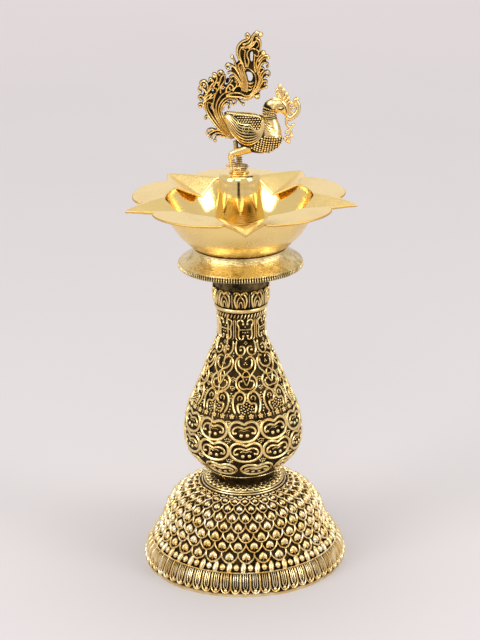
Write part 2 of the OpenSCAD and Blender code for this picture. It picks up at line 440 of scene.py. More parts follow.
# %% Domes
def domes(placed, across, along, height, rows=3, around=8, sink=0.3, tilt=0.0):
    """Half-round beads: rings shrink as cos t while they rise as height times sin t.

    across and along are the half sizes round the axis and along the profile."""
    points, normals = (array.reshape(-1, 1, 1, 3) for array in placed)
    level = unit(np.cross((0.0, 0.0, 1.0), normals))
    upward = np.cross(normals, level)
    t = np.linspace(0, np.pi / 2, rows + 1)[:-1]
    turn = np.linspace(0, 2 * np.pi, around, endpoint=False)
    x = np.outer(np.cos(t), np.cos(turn))[None, ..., None]
    y = np.outer(np.cos(t), np.sin(turn))[None, ..., None]
    lean = np.asarray(tilt, float).reshape(-1, 1, 1, 1)
    across, along, height = (np.asarray(v, float).reshape(-1, 1, 1, 1) for v in (across, along, height))
    side = across * x * np.cos(lean) - along * y * np.sin(lean)
    rise = across * x * np.sin(lean) + along * y * np.cos(lean)
    foot = sink * (np.arange(rows) == 0)[None, :, None, None]
    tall = height * np.sin(t)[None, :, None, None] - foot
    ring = points + level * side + upward * rise + normals * tall
    copies = ring.shape[0]
    tip = points[:, 0, 0] + normals[:, 0, 0] * height[:, 0, 0]
    body = ring.reshape(-1, 3)
    first = np.arange(copies)[:, None] * rows * around
    k = np.arange(around)
    last_ring = first + (rows - 1) * around
    tips = len(body) + np.arange(copies)[:, None] + 0 * k
    fan = np.stack((last_ring + k, last_ring + (k + 1) % around, tips), axis=-1).reshape(-1, 3)
    skirt = grid_faces(copies, rows, around, wrap_columns=True)[:, ::-1]
    base = first + k[::-1]
    crest = np.broadcast_to(np.sin(t)[None, :, None], (copies, rows, around)).ravel()
    crest = np.concatenate((crest, np.ones(copies)))
    return Part(np.vstack((body, tip)), [skirt, fan, base], crest)


# %% Turned parts
def turned_points(radius, azimuth, z):
    """Points (r cos a, r sin a, z) for radii, azimuths in radians and heights."""
    c, d = np.cos(azimuth), np.sin(azimuth)
    return np.stack((radius * c, radius * d, z + 0 * c), axis=-1)


def closed_rings(points, crest):
    """A part from a grid of points that closes both ways, as a ring of rings."""
    faces = grid_faces(1, *points.shape[:2], wrap_rows=True, wrap_columns=True)
    return Part(points, [faces], np.broadcast_to(crest, points.shape[:2]))


def capped(ring, ends, crest):
    """A part from rings of points, with its two open ends closed to the points ends."""
    count, around = ring.shape[:2]
    k = np.arange(around)
    after = (k + 1) % around
    tip = np.full(around, count * around)
    start = (count - 1) * around
    first = np.stack((after, k, tip), axis=-1)
    last = np.stack((k + start, after + start, tip + 1), axis=-1)
    faces = [grid_faces(1, count, around, wrap_columns=True), first, last]
    return Part(np.vstack((ring.reshape(-1, 3), ends)), faces, crest)


def spun(loop, azimuths, crest=0.0, whole=True):
    """A closed profile turned about the axis: point i at azimuth a is
    (r_i cos a, r_i sin a, z_i). A part of a turn gets a flat ribbon at each end, so its
    profile is given as an outside and an equally long inside."""
    loop = np.asarray(loop, float)
    points = turned_points(loop[None, :, 0], azimuths[:, None], loop[None, :, 1])
    turns, count = points.shape[:2]
    faces = [grid_faces(1, turns, count, wrap_rows=whole, wrap_columns=True)]
    if not whole:
        k = np.arange(count // 2 - 1)
        strip = np.stack((k, k + 1, count - 2 - k, count - 1 - k), axis=-1)
        faces += [strip[:, ::-1], strip + (turns - 1) * count]
    return Part(points, faces, np.broadcast_to(crest, points.shape[:2]))


# %% From parts to a mounted piece
def volume(part):
    """The volume inside a part's faces, which is negative where they point inwards."""
    total = 0.0
    for group in part.faces:
        corners = part.points[group]
        for k in range(1, group.shape[1] - 1):
            cross = np.cross(corners[:, k], corners[:, k + 1])
            total += np.einsum("ij,ij->", corners[:, 0], cross) / 6
    return total


def build(name, parts, material, body, nodes, sharp=50.0, weld=False):
    """Joins parts into one object in metres, with faces outwards, and mounts it.

    sharp is the angle, in degrees, from which an edge stays crisp. weld merges the
    points that meet at a pole or a seam."""
    groups = []
    start = 0
    for part in parts:
        flip = -1 if volume(part) < 0 else 1
        groups += [group[:, ::flip] + start for group in part.faces]
        start += len(part.points)
    points = np.concatenate([part.points for part in parts]) * MM
    corners = np.concatenate([group.ravel() for group in groups]).astype(np.int32)
    sizes = np.concatenate([np.full(len(group), group.shape[1]) for group in groups])
    begins = np.concatenate(([0], np.cumsum(sizes)[:-1])).astype(np.int32)
    mesh = bpy.data.meshes.new(name)
    mesh.vertices.add(len(points))
    mesh.vertices.foreach_set("co", points.astype(np.float32).ravel())
    mesh.loops.add(len(corners))
    mesh.loops.foreach_set("vertex_index", corners)
    mesh.polygons.add(len(begins))
    mesh.polygons.foreach_set("loop_start", begins)
    mesh.update(calc_edges=True)
    crest = np.concatenate([part.crest for part in parts]).astype(np.float32)
    mesh.attributes.new("crest", "FLOAT", "POINT").data.foreach_set("value", crest)
    if weld:
        joined = bmesh.new()
        joined.from_mesh(mesh)
        bmesh.ops.remove_doubles(joined, verts=joined.verts, dist=1e-6)
        joined.to_mesh(mesh)
        joined.free()
    mesh.validate()
    mesh.polygons.foreach_set("use_smooth", np.ones(len(mesh.polygons), bool))
    mesh.set_sharp_from_angle(angle=radians(sharp))
    mesh.materials.append(material)
    piece = bpy.data.objects.new(name, mesh)
    scene.collection.objects.link(piece)
    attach(piece, body)
    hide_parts(*nodes)
    print(name, "points", len(mesh.vertices), "triangles about", int(np.sum(sizes - 2)))

# %% [markdown]
# ## The brass finishes
#
# Antique brass is dipped in a black patina, then rubbed on a wheel, so
# only the crests come back to gold. Each relief part carries a value, crest, from 0 at
# the ground to 1 at the top, and the rubbing follows it with some unevenness. Polished
# brass has fine scratches, handling marks and slow colour changes, and its crest says
# how satin it is: the pressed rim has more grain than the cup, and 2 is the rim's round
# edge, painted a darker amber as shade. Brushed brass is the spun skirt, duller and
# mottled, with black painted as shade in the gaps between its milled teeth. Plain brass
# is for parts inside. One colour and one roughness for all would be shorter, but brass
# is told apart from gold paint by its unevenness.

# %% Brass finishes
GOLD = (0.93, 0.745, 0.37, 1.0)
WARM_GOLD = (0.82, 0.59, 0.24, 1.0)
PALE_GOLD = (0.95, 0.71, 0.27, 1.0)
AMBER_EDGE_SHADE = (0.66, 0.40, 0.11, 1.0)
# Black patina for the antique parts, also used as painted shade in the skirt's tooth gaps.
PATINA_AND_GROOVE_SHADE = (0.010, 0.007, 0.004, 1.0)
BROWN_PATINA = (0.070, 0.042, 0.014, 1.0)
WORN_POLISH = (0.90, 0.66, 0.27, 1.0)
SPUN_BRIGHT, SPUN_DULL = (0.84, 0.67, 0.33, 1.0), (0.50, 0.36, 0.14, 1.0)
PLAIN_BRIGHT, PLAIN_STAIN = (0.74, 0.57, 0.27, 1.0), (0.55, 0.40, 0.17, 1.0)


def antique_brass(name, low=0.28, high=0.62, gold=GOLD):
    """Black patina where the wear is below low, rubbed gold where it is above high."""
    finish = Finish(name)
    crest = finish.worn("crest")
    grain = finish.noise(1500.0, 4.0, 0.6)
    patch = finish.noise(140.0, 3.0)
    wear = crest + (grain - 0.5) * 0.35 + (patch - 0.5) * 0.35
    rubbed = wear.between(low, high)
    metal = finish.blend(patch.between(0.35, 0.7), WARM_GOLD, gold)
    soot = finish.blend(patch.between(0.3, 0.75), PATINA_AND_GROOVE_SHADE, BROWN_PATINA)
    bumps = finish.bump(grain + patch * 0.5, 0.00012, 0.55)
    return finish.done(
        Base_Color=finish.blend(rubbed, soot, metal),
        Metallic=1.0,
        Roughness=(1 - rubbed) * 0.3 + 0.2 + grain * 0.1,
        Normal=bumps,
    )


def polished_brass(name):
    """Mirror brass: scratches along z, dimples, slow tarnish, grain where satin, and a darker amber painted
    as shade on the rim's edge, where satin is 2.
    """
    finish = Finish(name)
    cloud = finish.noise(38.0, 4.0, 0.6)
    dimple = finish.noise(130.0, 3.0)
    grain = finish.noise(1900.0, 3.0, 0.7)
    satin = finish.worn("crest")
    scratch = finish.noise(900.0, 5.0, 0.7, finish.stretched((1.0, 1.0, 0.12)))
    tarnish = (cloud + (scratch - 0.5) * 0.4).between(0.50, 0.74)
    bumps = finish.bump(dimple * 0.35 + scratch * 0.1 + grain * satin * 0.22, 0.0009, 0.3)
    metal = finish.blend(tarnish, PALE_GOLD, WORN_POLISH)
    # A darker amber is painted as shade where satin nears 2, on the rim's round edge.
    return finish.done(
        Base_Color=finish.blend(satin.between(1.2, 1.9), metal, AMBER_EDGE_SHADE),
        Metallic=1.0,
        Roughness=scratch * 0.12 + tarnish * 0.12 + satin * 0.13 + 0.04,
        Normal=bumps,
    )


def brushed_brass(name):
    """Spun brass: flat strokes, dull patches, and black painted between the milled teeth as shade."""
    finish = Finish(name)
    strokes = finish.noise(420.0, 5.0, 0.7, finish.stretched((1.0, 1.0, 3.5)))
    mottled = finish.noise(95.0, 4.0, 0.65)
    dull = (mottled + (strokes - 0.5) * 0.6).between(0.44, 0.64)
    metal = finish.blend(dull, SPUN_BRIGHT, SPUN_DULL)
    bumps = finish.bump(strokes * 0.5 + mottled, 0.0015, 0.5)
    # Black is painted as shade in the gaps between the milled teeth, where crest is low.
    return finish.done(
        Base_Color=finish.blend(finish.worn("crest").between(0.2, 0.8), PATINA_AND_GROOVE_SHADE, metal),
        Metallic=1.0,
        Roughness=dull * 0.14 + 0.14,
        Normal=bumps,
    )


def plain_brass(name):
    """Bare turned brass with faint rings and stains."""
    finish = Finish(name)
    turned = finish.noise(300.0, 3.0, 0.6, finish.stretched((1.0, 1.0, 8.0)))
    stain = finish.noise(60.0, 3.0)
    return finish.done(
        Base_Color=finish.blend(stain, PLAIN_BRIGHT, PLAIN_STAIN),
        Metallic=1.0,
        Roughness=turned * 0.2 + 0.25,
        Normal=finish.bump(turned, 0.0002, 0.4),
    )


ANTIQUE = antique_brass("antique_brass")
ANTIQUE_BASE = antique_brass("antique_brass_base", 0.22, 0.56, (0.95, 0.82, 0.55, 1.0))
POLISHED = polished_brass("polished_brass")
BRUSHED = brushed_brass("brushed_brass")
PLAIN = plain_brass("plain_brass")
print("finishes:", [finish.name for finish in (ANTIQUE, ANTIQUE_BASE, POLISHED, BRUSHED, PLAIN)])

# %% [markdown]
# ## The base: a hollow casting with scales
#
# The real base is one sand casting, hollow and open underneath, with a flat ring to
# stand on. Its outside is covered with rows of scales that get smaller towards the top,
# a ring of beads and barrels, and a reeded foot. The wall is a closed profile turned
# once, sunk a little below the crests, and the ornament is laid on it.

# %% The wall of the base
BASE_PROFILE = [
    (74, 0), (74, 2.6), (73.2, 6), (71.8, 10), (69.6, 14.5), (67.4, 18), (64.8, 21.5),
    (61.6, 25), (59.4, 29.5), (58.1, 34), (56.6, 38.5), (54.5, 42.4), (51.8, 46.2),
    (48.6, 49.4), (45, 52.1), (41.2, 54.4), (37, 56.5), (33, 58.2), (28.9, 59.8),
]
BASE_GROUND = [
    (0.0, 0.05), (2.6, 0.05), (3.8, 1.2), (4.6, 1.7), (15.8, 1.7), (16.6, 1.9),
    (17.4, 2.7), (21.6, 2.6), (22.8, 1.5), (30.0, 1.3), (50.0, 1.1), (58.6, 0.7), (59.8, 0.0),
]
MORE_HEIGHTS = [10, 25, 35, 40, 44, 47, 52, 54.5, 56.5]
BASE_INSIDE = [
    (8, 59.75), (8, 56.8), (28, 56.8), (36, 53.6), (44.4, 49.2), (51, 43), (55, 35), (57, 27),
    (62, 20), (68, 10), (70.6, 2), (70.9, 0),
]
base = Turned(BASE_PROFILE)


def ground_at(height):
    """How deep the wall lies below the crests at a height."""
    return np.interp(height, *np.transpose(BASE_GROUND))


def flange_wobble(azimuth, z):
    """The foot's edge was left as cast: waves of a few tenths, only near the floor."""
    waves = np.sin(5 * azimuth + 0.6) + 0.8 * np.sin(11 * azimuth + 2.0) + 0.5 * np.sin(64 * azimuth)
    return (0.22 * waves - 0.55) * np.clip(1 - z / 4.5, 0, 1)


def base_wall():
    """A closed profile round the whole turn: the sunk outside up, and the inside down."""
    azimuth = np.linspace(0, 2 * np.pi, 576, endpoint=False)[:, None]
    heights = np.array([row[0] for row in BASE_GROUND] + MORE_HEIGHTS)
    s = base.s_at(np.sort(heights))[None, :]
    z = np.interp(s, base.s, base.line[:, 1])
    outside, _ = base.at(azimuth, s, -ground_at(z))
    radial = np.concatenate((np.cos(azimuth), np.sin(azimuth), 0 * azimuth), axis=-1)
    outside = outside + radial[:, None] * flange_wobble(azimuth, z)[..., None]
    loop = np.array(BASE_INSIDE)
    points = np.concatenate((outside, turned_points(loop[:, 0], azimuth, loop[:, 1])), axis=1)
    rubbed_foot = np.clip(1.7 - z[0] / 2.0, 0, 1) * 0.8
    return closed_rings(points, np.concatenate((rubbed_foot, np.zeros(len(loop)))))


# %% Scales
SCALES = 32
SCALE_PHASE = -89.2
SCALE_STEP = 360.0 / SCALES
SCALE_ROWS = [25.5, 32.3, 38.7, 44.8, 49.9, 54.1, 56.9, 58.4, 59.1]


def scale_outline(width, above, below):
    """A scale's lower edge: a U from its left shoulder, round its foot, to its right."""
    half = [(-0.5, 0.38 * above), (-0.485, 0.10 * above), (-0.40, -0.22 * below), (-0.22, -0.50 * below)]
    points = mirrored(half + [(0.0, -0.64 * below)])
    points[:, 0] *= width
    return smooth_line(points, 13)


def scale_parts():
    """One U wire and one bud on every scale; rows are staggered by half a scale."""
    parts = []
    s_rows = base.s_at(SCALE_ROWS)
    gaps = np.diff(s_rows)
    for row, height in enumerate(SCALE_ROWS[:-1]):
        radius = base.r_at(s_rows[row])
        width = 2 * np.pi * radius / SCALES
        above = gaps[row]
        below = gaps[max(row - 1, 0)]
        thick = np.clip(width / 9.5, 0.55, 1.1)
        azimuths = SCALE_PHASE + SCALE_STEP * (np.arange(SCALES) + 0.5 * (row % 2))
        ground = -ground_at(height)
        outline = scale_outline(width, above, below)
        placed = base.lay(outline, azimuths, height, ground)
        parts.append(wires(placed, 1.45 * thick, 1.5 * thick, sides=5, ends=0.8))
        parts += bud_parts(azimuths, height, ground, width, min(above, below * 1.1), thick)
    return parts


def bud_parts(azimuths, height, ground, width, tall, thick):
    """A bud on each scale, like a spade: two leaves that lean together at the top, a
    thin rib between their feet and a longer dome down their middle."""
    parts = []
    for side in (-1, 1):
        middle = np.array([(side * 0.115 * width, 0.0)])
        placed = base.lay(middle, azimuths, height, ground)
        size = (0.145 * width, 0.43 * tall, 2.0 * thick)
        parts.append(domes(placed, *size, rows=3, around=8, tilt=side * 0.36))
    placed = base.lay(np.array([(0.0, -0.24 * tall)]), azimuths, height, ground)
    parts.append(domes(placed, 0.045 * width, 0.26 * tall, 1.5 * thick, rows=2, around=6))
    placed = base.lay(np.array([(0.0, 0.14 * tall)]), azimuths, height, ground)
    parts.append(domes(placed, 0.12 * width, 0.33 * tall, 2.15 * thick, rows=3, around=8))
    return parts


# %% Beads, barrels and reeds
BEAD_PAIRS = 41
BEAD_PHASE = -108.7
BEAD_GROUND = -2.4
REEDS = 64
REED_HEIGHT = 10.2
REED_RADIUS = 71.8
REED_GROUND = -1.6
FULL_TURN = np.linspace(0, 2 * np.pi, 480, endpoint=False)[None, :]


def bead_parts():
    """A ring of tall barrels with a round bead between each two, a wire below it and
    one more wire at the top of the dome."""
    step = 360.0 / BEAD_PAIRS
    turns = BEAD_PHASE + step * np.arange(BEAD_PAIRS)
    spot = np.zeros((1, 2))
    barrels = base.lay(spot, turns, 19.4, BEAD_GROUND)
    beads = base.lay(spot, turns + step / 2, 19.6, BEAD_GROUND)
    barrel = domes(barrels, 2.3, 5.0, 2.6, rows=4, around=12, tilt=-0.12)
    bead = domes(beads, 2.3, 2.8, 2.5, rows=4, around=12)
    wire = wires(base.at(FULL_TURN, base.s_at(16.3), REED_GROUND), 1.4, 1.5, closed=True)
    collar = wires(base.at(FULL_TURN, base.s_at(59.3), -0.5), 1.3, 1.1, closed=True)
    return [barrel, bead, wire, collar]


def reed_parts():
    """Tongues round the foot: a rib in an inner U in an outer U, and a round bead
    between the feet of the two."""
    pitch = 2 * np.pi * REED_RADIUS / REEDS
    turns = -90.0 + 360.0 / REEDS * np.arange(REEDS)
    outer = mirrored([(-0.46, 6.2), (-0.47, 0), (-0.45, -4.4), (-0.30, -7.0), (0, -8.0)])
    inner = mirrored([(-0.20, 6.2), (-0.20, 0), (-0.18, -3.2), (0, -5.0)])
    outer[:, 0] *= pitch
    inner[:, 0] *= pitch
    foot = np.array([(0.0, -6.1)])
    rib = np.column_stack((np.zeros(9), np.linspace(6.2, -3.0, 9)))
    spots = (rib, smooth_line(outer, 17), smooth_line(inner, 13), foot)
    ribs, outers, inners, feet = (base.lay(s, turns, REED_HEIGHT, REED_GROUND) for s in spots)
    return [
        wires(ribs, 1.1, 1.3, sides=4),
        wires(outers, 1.35, 1.6, sides=5),
        wires(inners, 1.25, 1.5, sides=4),
        domes(feet, 1.4, 1.5, 1.3, rows=3, around=8),
    ]


base_parts = [base_wall()] + scale_parts() + bead_parts() + reed_parts()
build("base_casting", base_parts, ANTIQUE_BASE, "base", ["base_shell"])

# %% [markdown]
# ## The seat ring
#
# A bright ring is soldered on the dome round the stem's foot. It carries two rings of
# petals and is covered with punched grains, so it glitters, and a thin wire closes its
# outer edge. A bump map would do from afar, but real grains catch the light one by one.
# Their places come from a seeded spread, so every run gives the same ring.

# %% Seat ring
RING_PROFILE = [(28.9, 59.8), (28.7, 60.6), (27.6, 61.6), (24.6, 62.5), (22, 62.8), (20.6, 62.7)]
PETALS = 34
GRAINS = 260
GOLDEN = 0.618034
seat = Turned(RING_PROFILE, 60)
HAMMERED = antique_brass("hammered_brass", 0.1, 0.5)


def seat_ring_parts():
    """The ring's closed profile, an inner and an outer ring of petals, grains whose
    lengths along the profile step by the golden share, and the wire of the edge."""
    loop = np.vstack((seat.line[::6] - (0, 0.35), [(20.4, 62.2), (20.4, 59.8)]))
    ring = spun(loop, np.linspace(0, 2 * np.pi, 192, endpoint=False), 0.2)
    petals = np.linspace(0, 2 * np.pi, PETALS, endpoint=False)
    inner = domes(seat.at(petals, seat.s_at(62.55), -0.4), 1.5, 2.6, 1.0, rows=3, around=8)
    outer = domes(seat.at(petals + 0.09, seat.s[-1] * 0.36, -0.4), 2.3, 1.9, 1.15, rows=3, around=8)
    rng = np.random.default_rng(7)
    k = np.arange(GRAINS)
    s = seat.s[-1] * (0.14 + 0.8 * ((k * GOLDEN) % 1.0))
    turn = 2 * np.pi * (k + rng.random(GRAINS) * 0.8) / GRAINS
    across = 0.55 + 0.6 * rng.random(GRAINS)
    along = 0.5 + 0.5 * rng.random(GRAINS)
    tall = 0.45 + 0.4 * rng.random(GRAINS)
    grains = domes(seat.at(turn, s, -0.4), across, along, tall, rows=2, around=6)
    edge_at = seat.at(FULL_TURN[:, ::2], seat.s[-1] * 0.08, -0.3)
    edge = wires(edge_at, 1.4, 0.55, closed=True, sides=4)
    return [ring, inner, outer, grains, edge]


build("seat_ring", seat_ring_parts(), HAMMERED, "base", ["base_seat_ring"])

# %% [markdown]
# ## The stem: a vase of scrolls in two castings
#
# The vase is cast in two halves from one pattern and brazed together, and a rough seam
# still runs up its side. Its ornament lies in bands: kidney medallions round the belly,
# a belt of rosettes, big paired scrolls, hearts with drops and crescents, small
# C scrolls, a lattice, slanted dashes, a plain ring and lotus petals. Each motif is
# drawn once, as a few points in mm, and laid round the vase as raised wires.
# Modelling each band along a curve with an array would bend it only one way.

# %% Vase walls
VASE_PROFILE = [
    (22.5, 64), (24.6, 66.3), (26.8, 69.4), (30, 73.2), (34, 77.2), (37.3, 81), (40.2, 85),
    (42.1, 89.8), (42.9, 97.3), (42.4, 105.1), (41.2, 112.9), (38.8, 120.6), (35.2, 128.2),
    (32, 136), (29, 143.5), (26.2, 151), (23, 158.5), (21, 162.8), (19.4, 166.8),
    (18.3, 170.4), (17.8, 175), (17.8, 181), (18, 187), (18.4, 191), (19.2, 194.4),
    (20.2, 198), (20.6, 202), (20.6, 208),
]
VASE_WALL = 1.32
VASE_LIP = np.array([(16.2, 207.8)])
RELIEF = 1.35
SEAM_AZIMUTH = 55.5
vase = Turned(VASE_PROFILE)


def vase_wall(first):
    """Half a turn of a closed profile: the sunk outside up, and the inside back down."""
    azimuth = np.radians(np.linspace(first, first + 180.0, 145))
    rows = np.linspace(0, vase.s[-1], 90)
    depth = np.interp(rows, [0, 2, vase.s[-1] - 2.5, vase.s[-1]], [0.3, RELIEF, RELIEF, 0.7])
    out, _ = vase.at(0.0, rows, -depth)
    inn, _ = vase.at(0.0, rows, -depth - VASE_WALL)
    outside = np.vstack((out[:, [0, 2]], VASE_LIP))
    inside = np.vstack((inn[:, [0, 2]], VASE_LIP - (0, 1.0)))
    loop = np.vstack((outside, inside[::-1]))
    return spun(loop, azimuth, whole=False)


def seam_part(azimuth):
    """The brazed seam: a low wire up the side whose width and height wander."""
    s = np.linspace(vase.s_at(66), vase.s_at(191), 150)[None, :]
    wander = 0.012 * np.sin(0.31 * s) + 0.008 * np.sin(0.83 * s + 1)
    width = 1.3 + 0.4 * np.sin(0.55 * s[0]) + 0.25 * np.sin(1.7 * s[0] + 2)
    height = 1.15 + 0.25 * np.sin(0.9 * s[0])
    return wires(vase.at(np.radians(azimuth) + wander, s, -RELIEF), width, height)


# %% Drawing tools for the bands
class Half:
    """One of the vase's two castings: the half turn that starts at an azimuth."""

    def __init__(self, first):
        self.first = first

    def band(self, count, phase):
        """Azimuths, in degrees, of the motifs of a band whose middles lie in this half."""
        turns = phase + 360.0 / count * np.arange(count)
        return turns[(turns - self.first) % 360.0 < 180.0]

    def ring(self, height, width, tall, sides=5):
        """A wire along the half turn at a height."""
        arc = np.radians(np.linspace(self.first, self.first + 180.0, 121))[None, :]
        return wires(vase.at(arc, vase.s_at(height), -RELIEF), width, tall, sides=sides, ends=1.0)


# Cast crests are broader than the drawn lines and spots, by these shares.
WIRE_SPREAD = 1.16
BEAD_SPREAD = 1.08


def scrolls(lines, azimuths, height, width=1.45, tall=1.25, spacing=0.55, closed=False):
    """Wires along drawn lines, smoothed, with points about a spacing apart."""
    parts = []
    for line in lines:
        line = np.asarray(line, float)
        length = np.linalg.norm(np.diff(line, axis=0), axis=1).sum()
        count = max(5, int(length / spacing / 1.25))
        placed = vase.lay(smooth_line(line, count, closed), azimuths, height, -RELIEF)
        parts.append(wires(placed, WIRE_SPREAD * width, tall, closed))
    return parts


def both_sides(lines):
    """The lines and their mirror images in x."""
    return list(lines) + [np.asarray(line, float) * (-1, 1) for line in lines]


def beads_at(spots, azimuths, height, radius=0.8, tall=1.2, long=None, tilt=0.0):
    """Domes at given spots of a motif, repeated round the vase."""
    placed = vase.lay(np.array(spots, float), azimuths, height, -RELIEF)
    wide, deep = BEAD_SPREAD * radius, BEAD_SPREAD * (long or radius)
    return [domes(placed, wide, deep, tall, rows=3, around=8, tilt=tilt)]


# %% Medallions round the belly
KIDNEY = mirrored([
    (0, 5.3), (2.6, 6.5), (6.0, 7.1), (9.4, 5.4), (11.0, 1.6), (10.2, -2.4), (7.2, -5.6),
    (3.6, -7.0), (0, -7.4),
])
CRESCENT = mirrored([
    (6.0, -1.6), (7.6, -1.7), (8.4, 0.2), (7.2, 2.4), (4.6, 3.4), (1.9, 2.9), (0, 2.2),
])
LEAF = mirrored([(4.2, 0.1), (2.4, 1.1), (1.0, 0.6), (0, 0.2)])
MEDALLION_BALLS = [(-2.25, -2.9), (2.25, -2.9)]
LEAF_SPRIG = [
    (-2.0, 0.9), (-0.7, 1.4), (0.8, 1.3), (2.1, 0.8), (-1.4, -0.5), (0.2, -0.3), (1.5, -0.6), (0.1, -1.7),
]


def medallions(half, count, phase, height, wide=1.0, tall=1.0):
    """A thick kidney outline round a crescent with curled ends, a leaf and two balls."""
    turns = half.band(count, phase)
    stretch = (wide, tall)
    parts = scrolls([KIDNEY * stretch], turns, height, 2.0, 1.35, 0.9, closed=True)
    parts += scrolls([CRESCENT * stretch], turns, height, 1.55, 1.25, 0.7)
    parts += scrolls([LEAF * stretch], turns, height, 0.7, 0.8, 0.8)
    curls = [(-6.1 * wide, -1.2 * tall), (6.1 * wide, -1.2 * tall)]
    parts += beads_at(np.array(MEDALLION_BALLS) * stretch, turns, height, 1.45, 1.35)
    parts += beads_at(curls, turns, height, 1.05, 1.3)
    return parts


def sprigs(half, count, phase, height, size=1.0):
    """A few small leaves in each gap of a band."""
    parts = []
    for k, spot in enumerate(LEAF_SPRIG):
        spot = np.array([spot]) * size
        parts += beads_at(spot, half.band(count, phase), height, 0.42, 0.75, 0.85, 0.9 * (-1) ** k)
    return parts


# Rows of (count, phase, height, then sizes).
MEDALLION_ROWS = [(11, -89.0, 112.4), (11, -87.5, 96.8, 1.06, 1.0), (9, -75.5, 80.6, 1.02, 0.98)]
SPRIG_ROWS = [(11, -72.6, 105.4), (11, -71.1, 89.6), (11, -72.6, 118.2, 0.8)]
HEART_SPRIG_ROWS = [(9, -64.0, 146.5, 0.9), (9, -64.0, 140.8, 0.8)]


def rows_of(draw, half, rows):
    """What draw makes for every row, in one list."""
    return [part for row in rows for part in draw(half, *row)]


def belly_parts(half):
    """Three rows of medallions, three of sprigs, and a thin ring below."""
    parts = rows_of(medallions, half, MEDALLION_ROWS) + rows_of(sprigs, half, SPRIG_ROWS)
    return parts + [half.ring(70.6, 0.8, 0.7, 4)]


# %% Rosettes and the great scrolls
ROSETTES = 34
ROSETTE_PHASE = -91.5
ROSETTE_HEIGHT = 122.6


def rosette_parts(half):
    """A belt of five-petalled flowers: five domes round a sixth, and a bar between."""
    turns = half.band(ROSETTES, ROSETTE_PHASE)
    between = half.band(ROSETTES, ROSETTE_PHASE + 180 / ROSETTES)
    angle = np.radians(90 + 72 * np.arange(5))
    petals = 1.25 * np.stack((np.cos(angle), np.sin(angle)), axis=-1)
    parts = beads_at(petals, turns, ROSETTE_HEIGHT, 0.82, 1.1)
    parts += beads_at([(0.0, 0.0)], turns, ROSETTE_HEIGHT, 0.75, 1.35)
    return parts + scrolls([[(0, -1.7), (0, 0), (0, 1.7)]], between, ROSETTE_HEIGHT, 0.6, 0.8, 0.5)


GREAT_SCROLL = [
    (-7.7, -8.4), (-9.3, -5.0), (-10.1, -1.0), (-9.6, 3.2), (-7.2, 6.6), (-4.0, 7.2), (-1.5, 5.2),
    (-1.1, 1.8), (-3.0, -1.2), (-5.6, -1.2), (-6.6, -2.6), (-6.2, -5.4), (-5.0, -8.2),
]
GREAT_CURL = [(-6.1, 0.7), (-6.7, 2.6), (-5.3, 4.2), (-3.6, 3.6), (-3.5, 1.9), (-4.7, 1.6)]
GRAIN_SPOTS = [
    (-3.8, -3.4), (-2.1, -2.6), (-0.2, -1.4), (1.8, -2.7), (3.6, -3.5), (-3.9, -5.4), (-2.3, -4.6),
    (-0.5, -3.5), (1.2, -4.5), (3.0, -5.3), (4.6, -5.0), (-3.2, -7.2), (-1.3, -6.3), (0.4, -5.6),
    (2.2, -6.9), (3.9, -7.1), (0.6, -7.6), (-1.9, -8.2), (0.3, 0.6), (0, 2.6),
]
BETWEEN_SPOTS = [
    (0, 5.8), (-1.0, 4.2), (1.1, 4.3), (0.1, 2.4), (-0.9, 0.6), (0.8, -0.8), (0, -3.0), (0, -5.2),
    (-0.6, -7.0),
]
GREAT_HEIGHT = 131.9


def great_scroll_parts(half):
    """Nine pairs of scrolls that lean apart, curls inside them, and grains between."""
    turns = half.band(9, -85.0)
    parts = scrolls(both_sides([GREAT_SCROLL]), turns, GREAT_HEIGHT, 1.6, 1.3)
    parts += scrolls(both_sides([GREAT_CURL]), turns, GREAT_HEIGHT, 1.05, 1.0)
    parts += beads_at(GRAIN_SPOTS, turns, GREAT_HEIGHT, 0.72, 0.95)
    return parts + beads_at(BETWEEN_SPOTS, half.band(9, -65.0), GREAT_HEIGHT, 0.7, 0.95)


# %% Hearts, drops and crescents
HEART = mirrored([
    (0, 4.2), (1.8, 6.0), (4.2, 6.7), (6.8, 4.9), (7.6, 1.4), (6.6, -2.4), (4.4, -5.0), (2.6, -7.2),
])
HORSESHOE = mirrored([(4.9, 4.9), (5.4, 2.2), (4.2, -0.4), (2.2, -1.8), (0, -2.3)])
DROP = mirrored([(0, 4.4), (1.7, 3.6), (2.7, 1.4), (2.1, -1.6), (0.9, -4.2), (0, -5.6)])
LINK = mirrored([(4.2, 5.8), (6.6, 3.6), (7.7, 0.2), (6.9, -3.0), (4.2, -5.6), (1.9, -7.4)])
PELTA = mirrored([(4.0, 2.0), (5.2, 1.0), (5.6, -1.0), (3.6, -3.6), (1.4, -4.0), (0, -3.6)])
HEART_LINES = [
    (HEART, 155.2, 1.45, 1.3, False), (HORSESHOE, 155.2, 1.5, 1.2, False), (DROP, 147.8, 1.15, 1.35, True),
    (LINK, 144.2, 1.5, 1.2, False), (PELTA, 144.0, 1.25, 1.15, False),
]


def heart_parts(half):
    """Nine hearts with a horseshoe in each, and under each a drop, a link and a pelta."""
    turns = half.band(9, -84.0)
    parts = []
    for line, height, width, tall, closed in HEART_LINES:
        parts += scrolls([line], turns, height, width, tall, closed=closed)
    parts += beads_at([(-3.7, 1.6), (3.7, 1.6)], turns, 144.0, 0.95, 1.2)
    parts += beads_at([(0, 2.1), (-0.9, 0.9), (0.9, 0.9)], turns, 155.6, 0.6, 0.8)
    parts += rows_of(sprigs, half, HEART_SPRIG_ROWS)
    return parts + beads_at([(0, 1.2), (0, -0.6)], turns, 147.0, 0.55, 0.7)


